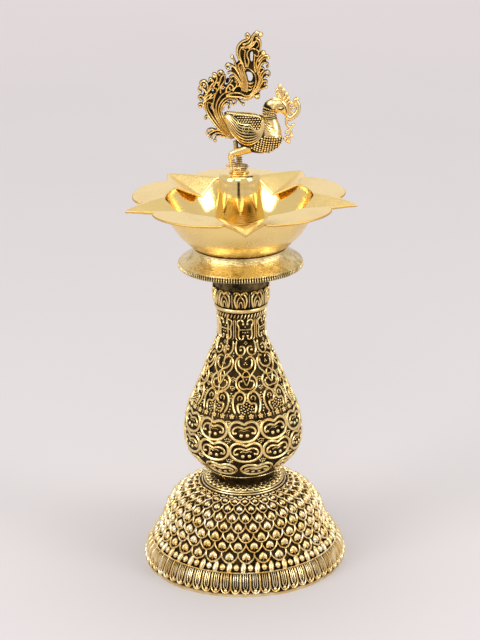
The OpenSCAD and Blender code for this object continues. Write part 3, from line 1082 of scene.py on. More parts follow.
# %% Small scrolls, lattice and dashes
SMALL_SCROLL = [
    (-7.2, 4.9), (-7.7, 1.4), (-7.3, -2.0), (-5.4, -4.6), (-2.7, -4.6), (-1.0, -2.3), (-1.4, 0.6),
    (-3.4, 1.4), (-4.8, 0.2),
]
LATTICE_BRACKET = [
    (-1.5, 4.4), (-1.7, 6.2), (-3.4, 7.4), (-5.4, 6.6), (-5.9, 4.4), (-4.9, 2.0), (-4.8, 0), (-5.1, -2.6),
    (-5.0, -4.8), (-3.8, -6.9), (-2.0, -6.7), (-1.5, -4.9),
]
LATTICE_PILLAR = [(-7.3, 7.4), (-7.2, 3.5), (-7.2, -2.5), (-7.0, -6.2), (-5.4, -7.9)]
NECK_MOTIFS = 7
NECK_PHASE = -81.0
SMALL_HEIGHT, LATTICE_HEIGHT, DASH_HEIGHT = 166.8, 179.6, 189.2
DASH = [(-0.7, -1.8), (0.1, 0), (0.8, 1.8)]


def neck_parts(half):
    """Pairs of C scrolls, an H lattice above each pair, and a row of slanted dashes."""
    small = half.band(NECK_MOTIFS, NECK_PHASE)
    between = half.band(NECK_MOTIFS, NECK_PHASE + 180 / NECK_MOTIFS)
    parts = scrolls(both_sides([SMALL_SCROLL]), small, SMALL_HEIGHT, 1.4, 1.2)
    parts += beads_at([(-4.0, -1.2), (4.0, -1.2)], small, SMALL_HEIGHT, 1.05, 1.25)
    parts += beads_at([(0, 4.4), (0, 2.6), (-0.8, 3.5), (0.8, 3.5)], small, SMALL_HEIGHT, 0.5, 0.8)
    parts += beads_at([(0, -3.5), (0, -5.4), (0, 3.0)], between, SMALL_HEIGHT, 0.6, 0.8)
    parts += scrolls(both_sides([LATTICE_BRACKET]), small, LATTICE_HEIGHT, 1.25, 1.25)
    parts += scrolls(both_sides([LATTICE_PILLAR]), small, LATTICE_HEIGHT, 0.85, 1.1)
    parts += scrolls([[(-4.6, 0), (0, 0.1), (4.6, 0)]], small, LATTICE_HEIGHT, 1.1, 1.15)
    corners = [(-1.6, 4.2), (1.6, 4.2), (-1.6, -4.6), (1.6, -4.6)]
    parts += beads_at(corners, small, LATTICE_HEIGHT, 0.95, 1.25)
    parts += beads_at([(0, -2.2), (0, 2.0), (-1.9, -2.0), (1.9, -2.0)], small, LATTICE_HEIGHT, 0.5, 0.7)
    return parts + scrolls([DASH], half.band(44, -90.0), DASH_HEIGHT, 1.05, 1.1, 0.5)


# %% Collar and lotus petals
PETAL_STRETCH = (1.04, 1.08)
PETAL_HEIGHT = 201.4
PETAL_OUTER = [(-2.9, -5.6), (-3.9, -2.4), (-4.3, 1.2), (-3.4, 3.8), (-1.9, 5.2), (-0.3, 4.4)]
PETAL_HOOK = [(-0.2, 3.6), (-1.0, 5.4), (-2.8, 6.2), (-4.4, 5.6), (-4.7, 4.2)]
PETAL_ARCH = [(-2.3, -5.6), (-2.6, -2.0), (-1.9, 1.2), (0, 3.1), (1.9, 1.2), (2.6, -2.0), (2.3, -5.6)]
PETAL_HEART = [(-1.1, -5.4), (-1.2, -2.4), (0, -0.2), (1.2, -2.4), (1.1, -5.4)]


def petal_parts(half):
    """A plain collar, ten upright petals with hooked tips, and a bar between two."""
    turns = half.band(10, -91.0)
    parts = [half.ring(193.2, 3.3, 1.45, 7)]
    for lines, width, tall in (
        (both_sides([PETAL_OUTER]), 1.35, 1.3),
        (both_sides([PETAL_HOOK]), 1.15, 1.2),
        ([PETAL_ARCH], 1.0, 1.15),
        ([PETAL_HEART], 0.9, 1.05),
    ):
        taller = [np.asarray(line) * PETAL_STRETCH for line in lines]
        parts += scrolls(taller, turns, PETAL_HEIGHT, width, tall)
    bar = [(0, -5.9), (0, 0), (0, 5.0)]
    return parts + scrolls([bar], half.band(10, -73.0), PETAL_HEIGHT, 0.8, 1.0)


# %% Two castings
def casting_parts(first):
    """One half of the vase: its wall, its bands and the seam on its first edge."""
    half = Half(first)
    parts = [vase_wall(first), seam_part(first)]
    parts += belly_parts(half) + rosette_parts(half) + great_scroll_parts(half)
    return parts + heart_parts(half) + neck_parts(half) + petal_parts(half)


left_casting = casting_parts(SEAM_AZIMUTH)
right_casting = casting_parts(SEAM_AZIMUTH + 180.0)
build("vase_left_casting", left_casting, ANTIQUE, "stem", ["vase_left_half"])
build("vase_right_casting", right_casting, ANTIQUE, "stem", ["vase_right_half"])

# %% [markdown]
# ## The bowl: a cup with a pressed rim
#
# The bowl is cast and turned, and its wide rim is pressed sheet, cut into five round
# lobes and five pointed spouts. Each spout is folded into a V that holds a wick and runs
# down into the cup. The rim is one sheet over azimuth and breadth: at plan point
# (x, y) from a spout's tip line, its height is the lower of the flat rim and two planes
# that meet in the V, with both folds rounded. Sculpting the folds would be quicker to
# start with, but five of them would never match.

# %% Rim outline
SPOUTS = 5
STEP = 360.0 / SPOUTS
SPOUT_AZIMUTH = 272.5
TIP_R = 83.5
NOTCH_R = 68.0
NOTCH_TURN = 11.5
LOBE_RISE = 7.92
LOBE_SPREAD = 24.6
RIM_Z = 272.0
SHEET = 1.5
MOUTH_R = 52.5
CREASE_TURN = 19.5
CREASE_X = MOUTH_R * np.cos(np.radians(CREASE_TURN))
CREASE_Y = MOUTH_R * np.sin(np.radians(CREASE_TURN))
VERTEX_R = 43.5
VALLEY = 9.0
TIP_SAG = np.array([2.4, 0.4, 0.0, 0.0, 0.4])
BLUNT_TIP_R = TIP_R - 0.3


def polar(turn, radius):
    """Plan points at an angle in degrees and a radius."""
    turn = np.radians(turn)
    return np.stack((radius * np.cos(turn), radius * np.sin(turn)), axis=-1)


def from_spout(turn):
    """The angle from the nearest spout, between -36 and 36 degrees."""
    return (turn + STEP / 2) % STEP - STEP / 2


def straight(first, last, count):
    """Points from first towards last, without last, a little denser at the ends."""
    t = (1 - np.cos(np.linspace(0, np.pi, count, endpoint=False))) / 2
    return first + (last - first) * t[:, None]


def spout_outline():
    """One fifth of the outline, from a tip over its notch and lobe to the next tip."""
    turn = np.linspace(NOTCH_TURN, STEP - NOTCH_TURN, 41)[:-1]
    share = np.clip(1 - ((turn - STEP / 2) / LOBE_SPREAD) ** 2, 0, 1)
    lobe = polar(turn, NOTCH_R + LOBE_RISE * np.sqrt(share))
    down = straight(polar(0.0, BLUNT_TIP_R), polar(NOTCH_TURN, NOTCH_R), 16)
    up = straight(polar(STEP - NOTCH_TURN, NOTCH_R), polar(STEP, BLUNT_TIP_R), 16)
    return np.vstack((down, lobe, up))


def inner_edge(turn):
    """The rim's inner edge: the round mouth, and a straight line to each V's inner end."""
    near = np.abs(from_spout(turn))
    a = np.radians(near)
    lip = VERTEX_R * CREASE_Y / (CREASE_Y * np.cos(a) + (VERTEX_R - CREASE_X) * np.sin(a))
    return np.where(near < CREASE_TURN, lip, MOUTH_R - 0.4)


# %% Pressed folds
SLOPE_OUT = VALLEY / (TIP_R - VERTEX_R)
SLOPE_SIDE = SLOPE_OUT * (TIP_R - CREASE_X) / CREASE_Y
FOLD_ROUND = 0.5
CREASE_ROUND = 0.35
SAG_FROM = 60.0
SAG_TURN = 20.0


def rim_height(turn, radius):
    """How far the sheet lies below the flat rim: the smooth lower of 0 and the V's
    planes, which fall inwards by SLOPE_OUT and rise to the sides by SLOPE_SIDE."""
    near = np.radians(from_spout(turn))
    x, y = radius * np.cos(near), radius * np.sin(near)
    side = np.sqrt(y * y + FOLD_ROUND**2) - FOLD_ROUND
    plane = SLOPE_SIDE * side - SLOPE_OUT * (TIP_R - x)
    return 0.5 * (plane - np.sqrt(plane * plane + CREASE_ROUND**2))


def rim_sag(turn, radius):
    """Hand work: each tip droops by its own TIP_SAG, and the lobes wave a little."""
    sag = TIP_SAG[np.round(turn / STEP).astype(int) % SPOUTS]
    out = np.clip((radius - SAG_FROM) / (TIP_R - SAG_FROM), 0, 1)
    near = np.clip(1 - np.abs(from_spout(turn)) / SAG_TURN, 0, 1)
    a = np.radians(turn)
    wave = 0.35 * np.sin(3 * a + 0.5) + 0.25 * np.sin(7 * a + 1.0)
    return sag * out**1.5 * near + (0.35 + wave * 0.5) * out


ACROSS_SHEET = 26
SHEET_EDGE = np.linspace(0, np.pi, 7)[1:-1][None, :]


def rim_part():
    """A closed sheet: its upper face outwards, a round edge, its lower face back and a
    round inner edge, at every azimuth of the outline."""
    fifth = spout_outline()
    first = np.degrees(np.arctan2(fifth[:, 1], fifth[:, 0]))
    turn = np.concatenate([first + STEP * k for k in range(SPOUTS)])[:, None]
    outer = np.tile(np.linalg.norm(fifth, axis=1), SPOUTS)[:, None]
    inner = inner_edge(turn)
    even = np.linspace(0, 1, ACROSS_SHEET)[None, :]
    share = even * 0.6 + 0.4 * np.cos(np.linspace(0, np.pi / 2, ACROSS_SHEET))[None, ::-1]
    edge, half = SHEET_EDGE, SHEET / 2
    r_top = inner + (outer - half - inner) * share
    r_edge = outer - half + half * np.sin(edge)
    r_back = r_top[:, ::-1]
    r_in = inner - half * np.sin(edge)
    radius = np.concatenate((r_top, r_edge, r_back, r_in), axis=1)
    round_up = half * np.cos(edge) + 0 * outer
    up = np.concatenate((0 * r_top, round_up - half, 0 * r_back - SHEET, -round_up - half), axis=1)
    z = RIM_Z + rim_height(turn, radius) - rim_sag(turn, radius) + up
    satin = np.ones(radius.shape[1])
    # The round outer edge gets 2, which paints it a darker amber as shade.
    satin[ACROSS_SHEET:ACROSS_SHEET + edge.size] = 2.0
    return closed_rings(turned_points(radius, np.radians(turn + SPOUT_AZIMUTH), z), satin)


# %% Cup
CUP_OUTSIDE = [
    (0, 236.85), (20, 236.85), (31.6, 236.85), (32.6, 237.1), (33.9, 238), (38, 241.5), (42.4, 246),
    (46, 251),
    (49.8, 257.5), (52.6, 266), (54.0, 270.6), (53.6, 271.5),
]
CUP_INSIDE = [
    (52.4, 271.6), (52.2, 269.5), (50.9, 266), (48.1, 260), (44.3, 253.5), (40.7, 248.5), (36.3, 244),
    (32.2, 241.2), (28, 239.8), (22, 239.4), (10, 239.3), (0, 239.3),
]


CUP_TURNS = 360
PRESSED_FROM = 50.0


def open_loop(points, crest):
    """A part from rings round the axis whose profile starts and ends on the axis."""
    return Part(points, [grid_faces(1, *points.shape[:2], wrap_rows=True)], crest)


def cup_part():
    """The cup's closed profile, turned; where a V is pressed its wall ends lower."""
    out = np.vstack((np.array(CUP_OUTSIDE[:3]), smooth_line(CUP_OUTSIDE[3:], 40)))
    inn = smooth_line(CUP_INSIDE, 44)
    loop = np.vstack((out, inn))
    turn = np.linspace(0, 360, CUP_TURNS, endpoint=False)[:, None]
    under = RIM_Z + rim_height(turn, np.maximum(loop[:, 0], PRESSED_FROM)) - SHEET * 0.5
    z = np.minimum(loop[None, :, 1], under)
    points = turned_points(loop[:, 0], np.radians(turn + SPOUT_AZIMUTH), z)
    satin = np.concatenate((np.full(len(out), 0.8), np.zeros(len(inn))))
    return open_loop(points, np.broadcast_to(satin, points.shape[:2]))


bowl_parts = [rim_part(), cup_part()]
build("oil_bowl_pressed", bowl_parts, POLISHED, "bowl", ["oil_bowl"], 35.0, weld=True)

# %% [markdown]
# ## The drip skirt
#
# Under the bowl sits a spun saucer that catches oil. Its top is mottled from the
# spinning tool and its lower edge is milled into about 150 teeth, as on a coin. The
# teeth are part of the profile's radius, which drops by a millimetre between them.

# %% Skirt
SKIRT_PROFILE = [
    (43.0, 222.3), (43.8, 222.7), (44.0, 223.4), (44.0, 224.3), (43.4, 225.0), (43.7, 225.6),
    (42.9, 226.6), (39.4, 228.9), (36, 231.4), (33.9, 233.8), (33.3, 235.6), (33.4, 236.8),
]
SKIRT_LINING = [
    (31.0, 236.4), (31.4, 234.0), (33.6, 230.9), (37.2, 228.0), (40.6, 225.6), (42.0, 223.8), (42.2, 222.5),
]
SKIRT_NECK = [(18.8, 236.7), (18.8, 235.2)]
TEETH = 150
TOOTH_DEPTH = 1.15
TOOTH_TOP = 226.1
TOOTH_R = 42.4


def skirt_part():
    """Outside up and lining down, turned; six azimuths make each tooth."""
    out = smooth_line(SKIRT_PROFILE, 34)
    lining = smooth_line(SKIRT_LINING, 16)
    loop = np.vstack((out, SKIRT_NECK, lining))
    azimuth = np.linspace(0, 2 * np.pi, TEETH * 6, endpoint=False)[:, None]
    tooth = 0.5 + 0.5 * np.tanh(3.0 * (np.cos(TEETH * azimuth) - 0.25))
    zone = np.clip((TOOTH_TOP - loop[:, 1]) / 0.3, 0, 1) * (loop[:, 0] > TOOTH_R)
    gap = (1 - tooth) * zone
    # crest is 1 on the teeth and falls in the gaps, where the skirt's finish paints black shade.
    return closed_rings(turned_points(loop[:, 0] - TOOTH_DEPTH * gap, azimuth, loop[:, 1]), 1 - gap)


build("drip_skirt_spun", [skirt_part()], BRUSHED, "bowl", ["drip_skirt"], 50.0)

# %% [markdown]
# ## The centre post
#
# A hollow turned post stands in the bowl and lifts the peacock. It tapers, is polished
# lengthwise and has a tight round shoulder. It is a plain turned profile, so all its
# looks come from that shoulder, from fine grooves low down and from its finish.

# %% Post and the peacock's disc
POST_PROFILE = [
    (19.4, 239.35), (18.5, 247), (17.45, 256.5), (16.3, 265.9), (15.15, 276.6), (14.5, 281.5),
    (14.15, 285.0),
    (13.75, 287.0), (12.9, 288.35), (11.4, 289.05), (9.0, 289.3), (5, 289.35), (2.7, 289.35),
]
POST_LINING = [(2.7, 287.6), (9, 287.5), (11.8, 286.3), (13.1, 278), (14.8, 265), (16.2, 254), (17.6, 239.35)]


def post_part():
    """The post's closed profile, turned, with fine grooves low on its outside."""
    out = smooth_line(POST_PROFILE, 150)
    low = np.clip((266.0 - out[:, 1]) / 8.0, 0, 1)
    out[:, 0] -= 0.12 * low * (1 - np.cos(2 * np.pi * out[:, 1] / 1.5))
    loop = np.vstack((out, smooth_line(POST_LINING, 24)))
    return spun(loop, np.linspace(0, 2 * np.pi, 160, endpoint=False), 1.0)


POST_STROKE = (0.86, 0.62, 0.24, 1.0)


def bright_post(name):
    """Polished brass with fine lengthwise strokes and faint turning marks."""
    finish = Finish(name)
    strokes = finish.noise(520.0, 4.0, 0.6, finish.stretched((1.0, 1.0, 0.06)))
    rings = finish.noise(260.0, 3.0, 0.6, finish.stretched((0.05, 0.05, 3.0)))
    dimple = finish.noise(150.0, 2.0)
    bumps = finish.bump(strokes * 0.25 + rings * 0.5 + dimple * 0.4, 0.0003, 0.3)
    return finish.done(
        Base_Color=finish.blend(strokes.between(0.45, 0.75), PALE_GOLD, POST_STROKE),
        Metallic=1.0,
        Roughness=strokes * 0.1 + 0.06,
        Normal=bumps,
    )


DISC_PROFILE = [
    (2.56, 289.45), (6.6, 289.45), (6.95, 289.75), (6.95, 290.4), (6.3, 290.8), (5.9, 291.0),
    (5.9, 291.3), (5.5, 291.7), (4.0, 291.75), (0, 291.75), (0, 291.2), (2.4, 291.1), (2.5, 290.9),
]


def disc_part():
    """A small disc with two steps and a blind hole for its stud."""
    return spun(np.array(DISC_PROFILE), np.linspace(0, 2 * np.pi, 96, endpoint=False), 0.8)


BRIGHT_POST = bright_post("bright_post")
build("centre_post_turned", [post_part()], BRIGHT_POST, "bowl", ["centre_post"], 40.0)
build(
    "peacock_disc", [disc_part()], POLISHED, "finial", ["finial_pedestal"], 40.0,
    weld=True,
)

# %% [markdown]
# ## Studs and inner parts
#
# The lamp comes apart at three screws. Each thread is a helix cut into a stud: the
# radius drops with the distance from the helix, which at azimuth a and height z is how
# far z/pitch - a/360 is from a whole number. The rest of the inner parts are plain
# turned shapes, and their solids only need a finish.

# %% Threads
STUD_TURNS = 48


def stud_part(radius, low, high, pitch):
    """A threaded rod: a tube of rings, closed at both ends by a cone to the axis."""
    rows = int((high - low) / pitch * 8)
    z = np.linspace(low, high, rows)[None, :]
    a = np.linspace(0, 2 * np.pi, STUD_TURNS, endpoint=False)[:, None]
    phase = (z / pitch - a / (2 * np.pi)) % 1.0
    groove = np.clip(1.3 - 4.0 * np.abs(phase - 0.5), 0, 1)
    ends = np.clip(np.minimum(z - low, high - z) / 0.8, 0, 1)
    r = (radius - 0.02) - pitch * 0.38 * groove * ends - 0.5 * (1 - ends)
    r = np.concatenate((0 * a, r, 0 * a), axis=1)
    z = np.concatenate((low + 0 * a, z + 0 * a, high + 0 * a), axis=1)
    return open_loop(turned_points(r, a, z), 0.8)


def screw(name, node, radius, pitch, body):
    """A stud as long as its solid, on its own body."""
    low, high = (corner.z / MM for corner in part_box(node))
    build(name, [stud_part(radius, low, high, pitch)], PLAIN, body, [node], 40.0, weld=True)


screw("stem_screw_threaded", "stem_stud", 4.0, 1.5, "stem_screw")
screw("bowl_screw_threaded", "bowl_stud", 4.0, 1.5, "bowl_screw")
screw("finial_screw_threaded", "finial_stud", 2.5, 1.0, "finial_screw")

# %% Solids that stay
# The bush under the skirt, the boss under the bowl and the plug under the vase get black patina and a darker
# gold: the darker gold is painted shade where the parts above them hide the light.
PATINA_AND_PAINTED_SHADE = antique_brass("patina_with_painted_shade", -0.1, 0.4, (0.62, 0.43, 0.17, 1.0))
STAY = {
    "base_boss": PLAIN, "post_boss": PLAIN, "bowl_boss": PATINA_AND_PAINTED_SHADE, "vase_foot_plug": PATINA_AND_PAINTED_SHADE,
    "vase_top_bush": PATINA_AND_PAINTED_SHADE,
}
for name, finish in STAY.items():
    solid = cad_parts[name]
    solid.data.materials.clear()
    solid.data.materials.append(finish)
print("solids that stay:", ", ".join(STAY))

# %% [markdown]
# ## The peacock's body
#
# The bird is one lost-wax casting: wax threads and beads were laid on a smooth wax
# core. The body here is that core, a row of oval sections along X, and the neck and
# head are oval sections along a bent path. The wing, feathers and beads are then laid
# on the core with the same wires and domes as on the vase, so both sides match.

# %% Body core
BACK = [
    (-9.6, 331.6), (-7, 332.0), (-2, 331.4), (4, 331.0), (10, 330.4), (15, 329.2), (19, 327.4),
    (23, 324.6), (26.4, 321), (28.8, 316.6), (29.7, 312.6),
]
BELLY = [
    (-9.6, 330.2), (-8.8, 325.5), (-6.6, 320), (-3.5, 314.4), (0.5, 309), (5, 305), (10, 303.2),
    (16, 302.6), (21.4, 303.4), (25.8, 306), (28.6, 309.2), (29.7, 312.0),
]
HALF_WIDTH = [
    (-9.6, 0.6), (-8, 3.0), (-5, 5.6), (-1, 7.8), (4, 9.2), (10, 9.6), (16, 9.6), (21, 8.8),
    (25, 7.0), (28, 4.4), (29.7, 0.6),
]
back_line = smooth_line(BACK, 200)
belly_line = smooth_line(BELLY, 200)
width_line = smooth_line(HALF_WIDTH, 200)


def body_section(x):
    """Middle height, half height and half width of the body at x."""
    top = np.interp(x, back_line[:, 0], back_line[:, 1])
    low = np.interp(x, belly_line[:, 0], belly_line[:, 1])
    wide = np.interp(x, width_line[:, 0], width_line[:, 1])
    return (top + low) / 2, (top - low) / 2, wide


def on_body(x, z, side):
    """The body's surface beside a point of its side view, and the normal there.

    y is the half width times the root of 1 - ((z - middle)/half height) squared. The
    normal is the cross product of small steps along x and z."""
    x, z = np.broadcast_arrays(np.asarray(x, float), np.asarray(z, float))

    def point(px, pz):
        middle, half, wide = body_section(px)
        share = np.clip((pz - middle) / np.maximum(half, 0.1), -0.985, 0.985)
        return np.stack((px, side * wide * np.sqrt(1 - share**2), middle + half * share), axis=-1)

    here = point(x, z)
    normal = unit(np.cross(point(x + 0.2, z) - here, point(x, z + 0.2) - here))
    outward = np.sign(normal[..., 1:2]) * side
    return here, normal * np.where(outward == 0, 1, outward)


def tube(points, half_wide, half_deep, across=(0.0, 1.0, 0.0), around=10, crest=None):
    """A closed tube: at each point an oval, half_wide in the lamp's middle plane and
    half_deep along across. Without a crest of its own it is worn on its far and near sides."""
    points = np.asarray(points, float)
    count = len(points)
    along = unit(np.gradient(points, axis=0))
    deep = np.broadcast_to(np.asarray(across, float), points.shape)
    wide = unit(np.cross(deep, along))
    t = np.linspace(0, 2 * np.pi, around, endpoint=False)
    a = np.broadcast_to(half_wide, count)[:, None, None] * np.cos(t)[None, :, None]
    b = np.broadcast_to(half_deep, count)[:, None, None] * np.sin(t)[None, :, None]
    ring = points[:, None] + wide[:, None] * a + deep[:, None] * b
    if crest is None:
        crest = np.abs(np.sin(t))[None, :]
    else:
        crest = np.broadcast_to(crest, count)[:, None]
    crests = np.broadcast_to(crest, (count, around)).ravel()
    return capped(ring, points[[0, -1]], np.concatenate((crests, crests[:1], crests[-1:])))


BODY_MIDDLE_X = 10.05
BODY_HALF_LENGTH = 19.65
BREAST_X, BREAST_Z = 17, 315.5


def body_core():
    """Oval sections from rump to breast, closer together at the ends. The bare breast,
    in front of BREAST_X and above BREAST_Z, is rubbed brighter."""
    x = BODY_MIDDLE_X - BODY_HALF_LENGTH * np.cos(np.linspace(0.0, np.pi, 60))
    middle, half, wide = body_section(x)
    line = np.stack((x, 0 * x, middle), axis=-1)
    t = np.linspace(0, 2 * np.pi, 48, endpoint=False)
    circle = np.stack((0 * t, np.cos(t), np.sin(t)), axis=-1)
    ring = line[:, None] + circle[None] * np.stack((0 * x, wide, half), axis=-1)[:, None]
    front = np.clip((ring[..., 0] - BREAST_X) / 1.5, 0, 1)
    worn = 0.2 + 0.45 * front * np.clip((ring[..., 2] - BREAST_Z) / 1.5, 0, 1)
    return capped(ring, line[[0, -1]], np.concatenate((worn.ravel(), [0.2, 0.2])))


# %% Neck, head and beak
NECK_PATH = [
    (21.0, 315.5), (21.8, 320.5), (21.7, 325.0), (21.1, 329.0), (20.9, 332.4), (21.8, 335.0), (24.2, 336.3),
    (27.0, 336.0), (29.6, 334.8), (31.6, 332.6), (32.8, 330.2), (33.2, 328.2), (33.1, 326.9),
]
NECK_WIDE = [9.0, 7.2, 5.3, 4.4, 4.1, 4.5, 5.3, 5.7, 5.2, 3.5, 2.1, 1.2, 0.3]
NECK_DEEP = [8.0, 6.4, 4.8, 4.0, 3.7, 3.9, 4.4, 4.7, 4.3, 2.8, 1.6, 0.9, 0.3]
neck_line = smooth_line(np.column_stack((NECK_PATH, NECK_WIDE, NECK_DEEP)), 90)


def neck_points():
    """The neck's middle line as points with y = 0, and its half width and depth."""
    line = np.stack((neck_line[:, 0], 0 * neck_line[:, 0], neck_line[:, 1]), axis=-1)
    return line, neck_line[:, 2], neck_line[:, 3]


def neck_ring(share, lift, turn):
    """Points and normals round the neck at a share of its length, at angles turn."""
    line, wide, deep = neck_points()
    k = int(share * (len(line) - 1))
    along = unit(line[k + 1] - line[k - 1])
    side = np.array([0.0, 1.0, 0.0])
    front = np.cross(side, along)
    out = front * np.cos(turn)[..., None] / wide[k] + side * np.sin(turn)[..., None] / deep[k]
    normal = unit(out)
    rim = line[k] + front * (wide[k] * np.cos(turn))[..., None]
    rim = rim + side * (deep[k] * np.sin(turn))[..., None]
    return rim + normal * lift, normal


NECK_WIRES = (0.34, 0.375, 0.455)
NECK_BEADS = (0.40, 0.43, 0.485)


def neck_parts_of_bird():
    """The neck and head as one tube, with wires and rows of beads round the throat."""
    line, wide, deep = neck_points()
    share = np.linspace(0, 1, len(line))
    plain = np.clip((share - 0.5) * 12, 0, 1) + np.clip((0.33 - share) * 12, 0, 1)
    parts = [tube(line, wide, deep, around=36, crest=0.12 + 0.7 * plain)]
    full = np.linspace(0, 2 * np.pi, 40, endpoint=False)[None, :]
    for share in NECK_WIRES:
        parts.append(wires(neck_ring(share, 0.0, full), 0.95, 0.75, closed=True, sides=4, sink=0.2))
    turn = np.linspace(0, 2 * np.pi, 22, endpoint=False)
    for share in NECK_BEADS:
        parts.append(domes(neck_ring(share, 0.0, turn), 0.6, 0.6, 0.8, rows=2, around=8))
    return parts


# %% Wires and beads on the body
def on_both(draw):
    """What draw makes for the far and for the near side."""
    return [part for side in (-1, 1) for part in draw(side)]


def body_wire(line, side, width, tall):
    """A wire on the body along a line drawn in the side view."""
    line = np.asarray(line, float)
    length = np.linalg.norm(np.diff(line, axis=0), axis=1).sum()
    path = smooth_line(line, max(6, int(length / 0.6)))[None]
    return wires(on_body(path[..., 0], path[..., 1], side), width, tall, sides=4, sink=0.25)


WING_EDGE = [
    (16.2, 328.4), (16.9, 324.4), (16.4, 320.0), (14.4, 315.6), (10.8, 312.2), (6, 310.9), (1.5, 312.2),
    (-2.6, 315.8), (-6, 320.6), (-8.4, 326), (-9.2, 330.2),
]
WING_NOSE = [
    (-7.6, 330.6), (-3.6, 329.2), (-0.8, 327.4), (0.6, 325.4), (4, 324.7), (7.6, 324.4), (10.2, 322.0),
    (12.6, 320.8), (14.8, 322.2), (15.4, 325.4),
]
NECKLACES = [
    [(17.4, 328.0), (19.6, 325.0), (23.0, 323.2), (26.6, 322.0)],
    [(17.7, 326.2), (20.2, 323.2), (23.8, 321.4), (27.4, 320.2)],
    [(17.9, 324.2), (20.6, 321.5), (24.2, 319.7), (28.2, 318.5)],
    [(18.0, 322.4), (20.9, 319.7), (24.6, 318.0), (28.8, 317.0)],
]
SPIRAL_MIDDLE = (5.2, 321.4)


def spiral(middle, outer, turns, count=40):
    """A flat spiral from outside in: the radius falls evenly with the angle."""
    t = np.linspace(0, 1, count)
    radius = outer * (1 - 0.85 * t)
    angle = 2 * np.pi * turns * t + 0.6
    return np.stack((middle[0] + radius * np.cos(angle), middle[1] + radius * np.sin(angle)), axis=-1)


def breast_rows():
    """Rows of beads that sag between the wing and the breast's front edge."""
    spots = []
    for row in range(8):
        x = np.arange(17.8 - 1.15 * row - 0.85 * (row % 2), 29.6, 1.7)
        z = 315.2 - 1.66 * row + 0.016 * (x - 26.0) ** 2
        middle, half, _ = body_section(x)
        keep = np.abs(z - middle) < 0.965 * half
        spots.append(np.stack((x, z), axis=-1)[keep])
    return np.vstack(spots)


def feather_lines(count=6):
    """Long feathers: lines evenly spaced between the wing's edge and its nose line."""
    edge = smooth_line(WING_EDGE, 60)
    nose = smooth_line(WING_NOSE[::-1], 60)
    return [edge + (nose - edge) * share for share in (np.arange(count) + 1) / (count + 1)]


def wing_scales():
    """Staggered small scales between the back and the wing's nose line."""
    rows = np.arange(7)
    x = -3.0 + 1.8 * np.arange(11)[None, :] + 0.9 * (rows[:, None] % 2)
    z = 330.2 - 1.35 * rows[:, None] + 0 * x
    nose = smooth_line(WING_NOSE, 120)
    floor_line = np.interp(x, nose[:, 0], nose[:, 1])
    keep = (z > floor_line + 0.7) & (x < 16.0)
    return np.stack((x[keep], z[keep]), axis=-1)


def body_relief(side):
    """Wing, feathers, necklaces, a spiral, and the beads and scales of one side."""
    parts = [body_wire(WING_EDGE, side, 1.3, 0.8), body_wire(WING_NOSE, side, 0.95, 0.7)]
    parts += [body_wire(line, side, 1.3, 1.0) for line in feather_lines()]
    parts += [body_wire(line, side, 0.95, 0.8) for line in NECKLACES]
    parts.append(body_wire(spiral(SPIRAL_MIDDLE, 3.0, 1.9), side, 0.95, 1.1))
    beads = breast_rows()
    parts.append(domes(on_body(beads[:, 0], beads[:, 1], side), 0.86, 0.78, 1.0, rows=3, around=8))
    scales = wing_scales()
    placed = on_body(scales[:, 0], scales[:, 1], side)
    parts.append(domes(placed, 0.82, 0.62, 0.75, rows=3, around=8, tilt=0.5))
    ticks = smooth_line(WING_EDGE[:6], 18) + (-0.9, 0.5)
    placed = on_body(ticks[:, 0], ticks[:, 1], side)
    parts.append(domes(placed, 0.6, 0.25, 0.5, rows=2, around=6, tilt=-0.4))
    return parts


HEAD_MIDDLE = (27.6, 335.0)
HEAD_LONG, HEAD_TALL, HEAD_DEEP = 6.9, 7.2, 4.75
ALMOND = [(25.9, 335.2), (27.4, 336.9), (29.6, 336.7), (31.4, 334.6), (29.4, 333.4), (27.4, 333.7)]
BROW = [(23.0, 337.6), (25.6, 339.2), (29.0, 339.0), (31.8, 336.4), (32.9, 333.2), (33.0, 330.0)]
CROWN = [(27.2, 338.2), (24.2, 336.8)]
EYE = [(28.7, 335.1)]
CHEEK = [(23.9, 333.4), (24.6, 334.6), (24.3, 335.9), (23.2, 334.7), (25.3, 333.4), (23.3, 336.3)]


def head_relief(side):
    """An almond of wire round the eye's ball, a brow line down to the beak, a raised
    crown and a few grains on the cheek."""
    parts = []
    for line, closed, width in ((ALMOND, True, 0.85), (BROW, False, 0.95)):
        path = smooth_line(line, 30, closed)
        parts.append(wires(on_head(path, side), width, 0.75, closed, sides=4, sink=0.3))
    parts.append(domes(on_head(CROWN, side), 2.6, 1.8, 0.45, rows=3, around=12))
    parts.append(domes(on_head(EYE, side), 1.15, 1.0, 1.0, rows=3, around=12))
    parts.append(domes(on_head(CHEEK, side), 0.55, 0.55, 0.6, rows=2, around=8))
    return parts


def on_head(path, side):
    """The head as an egg about HEAD_MIDDLE: y falls as the root of 1 - u*u - v*v, where
    u and v are the distances from its middle as shares of its half length and height."""
    path = np.asarray(path, float)
    u = (path[:, 0] - HEAD_MIDDLE[0]) / HEAD_LONG
    v = (path[:, 1] - HEAD_MIDDLE[1]) / HEAD_TALL
    y = side * HEAD_DEEP * np.sqrt(np.clip(1 - u * u - v * v, 0.02, 1))
    points = np.stack((path[:, 0], y, path[:, 1]), axis=-1)
    normals = unit(np.stack((u / HEAD_LONG, y / HEAD_DEEP**2, v / HEAD_TALL), axis=-1))
    return points[None], normals[None]


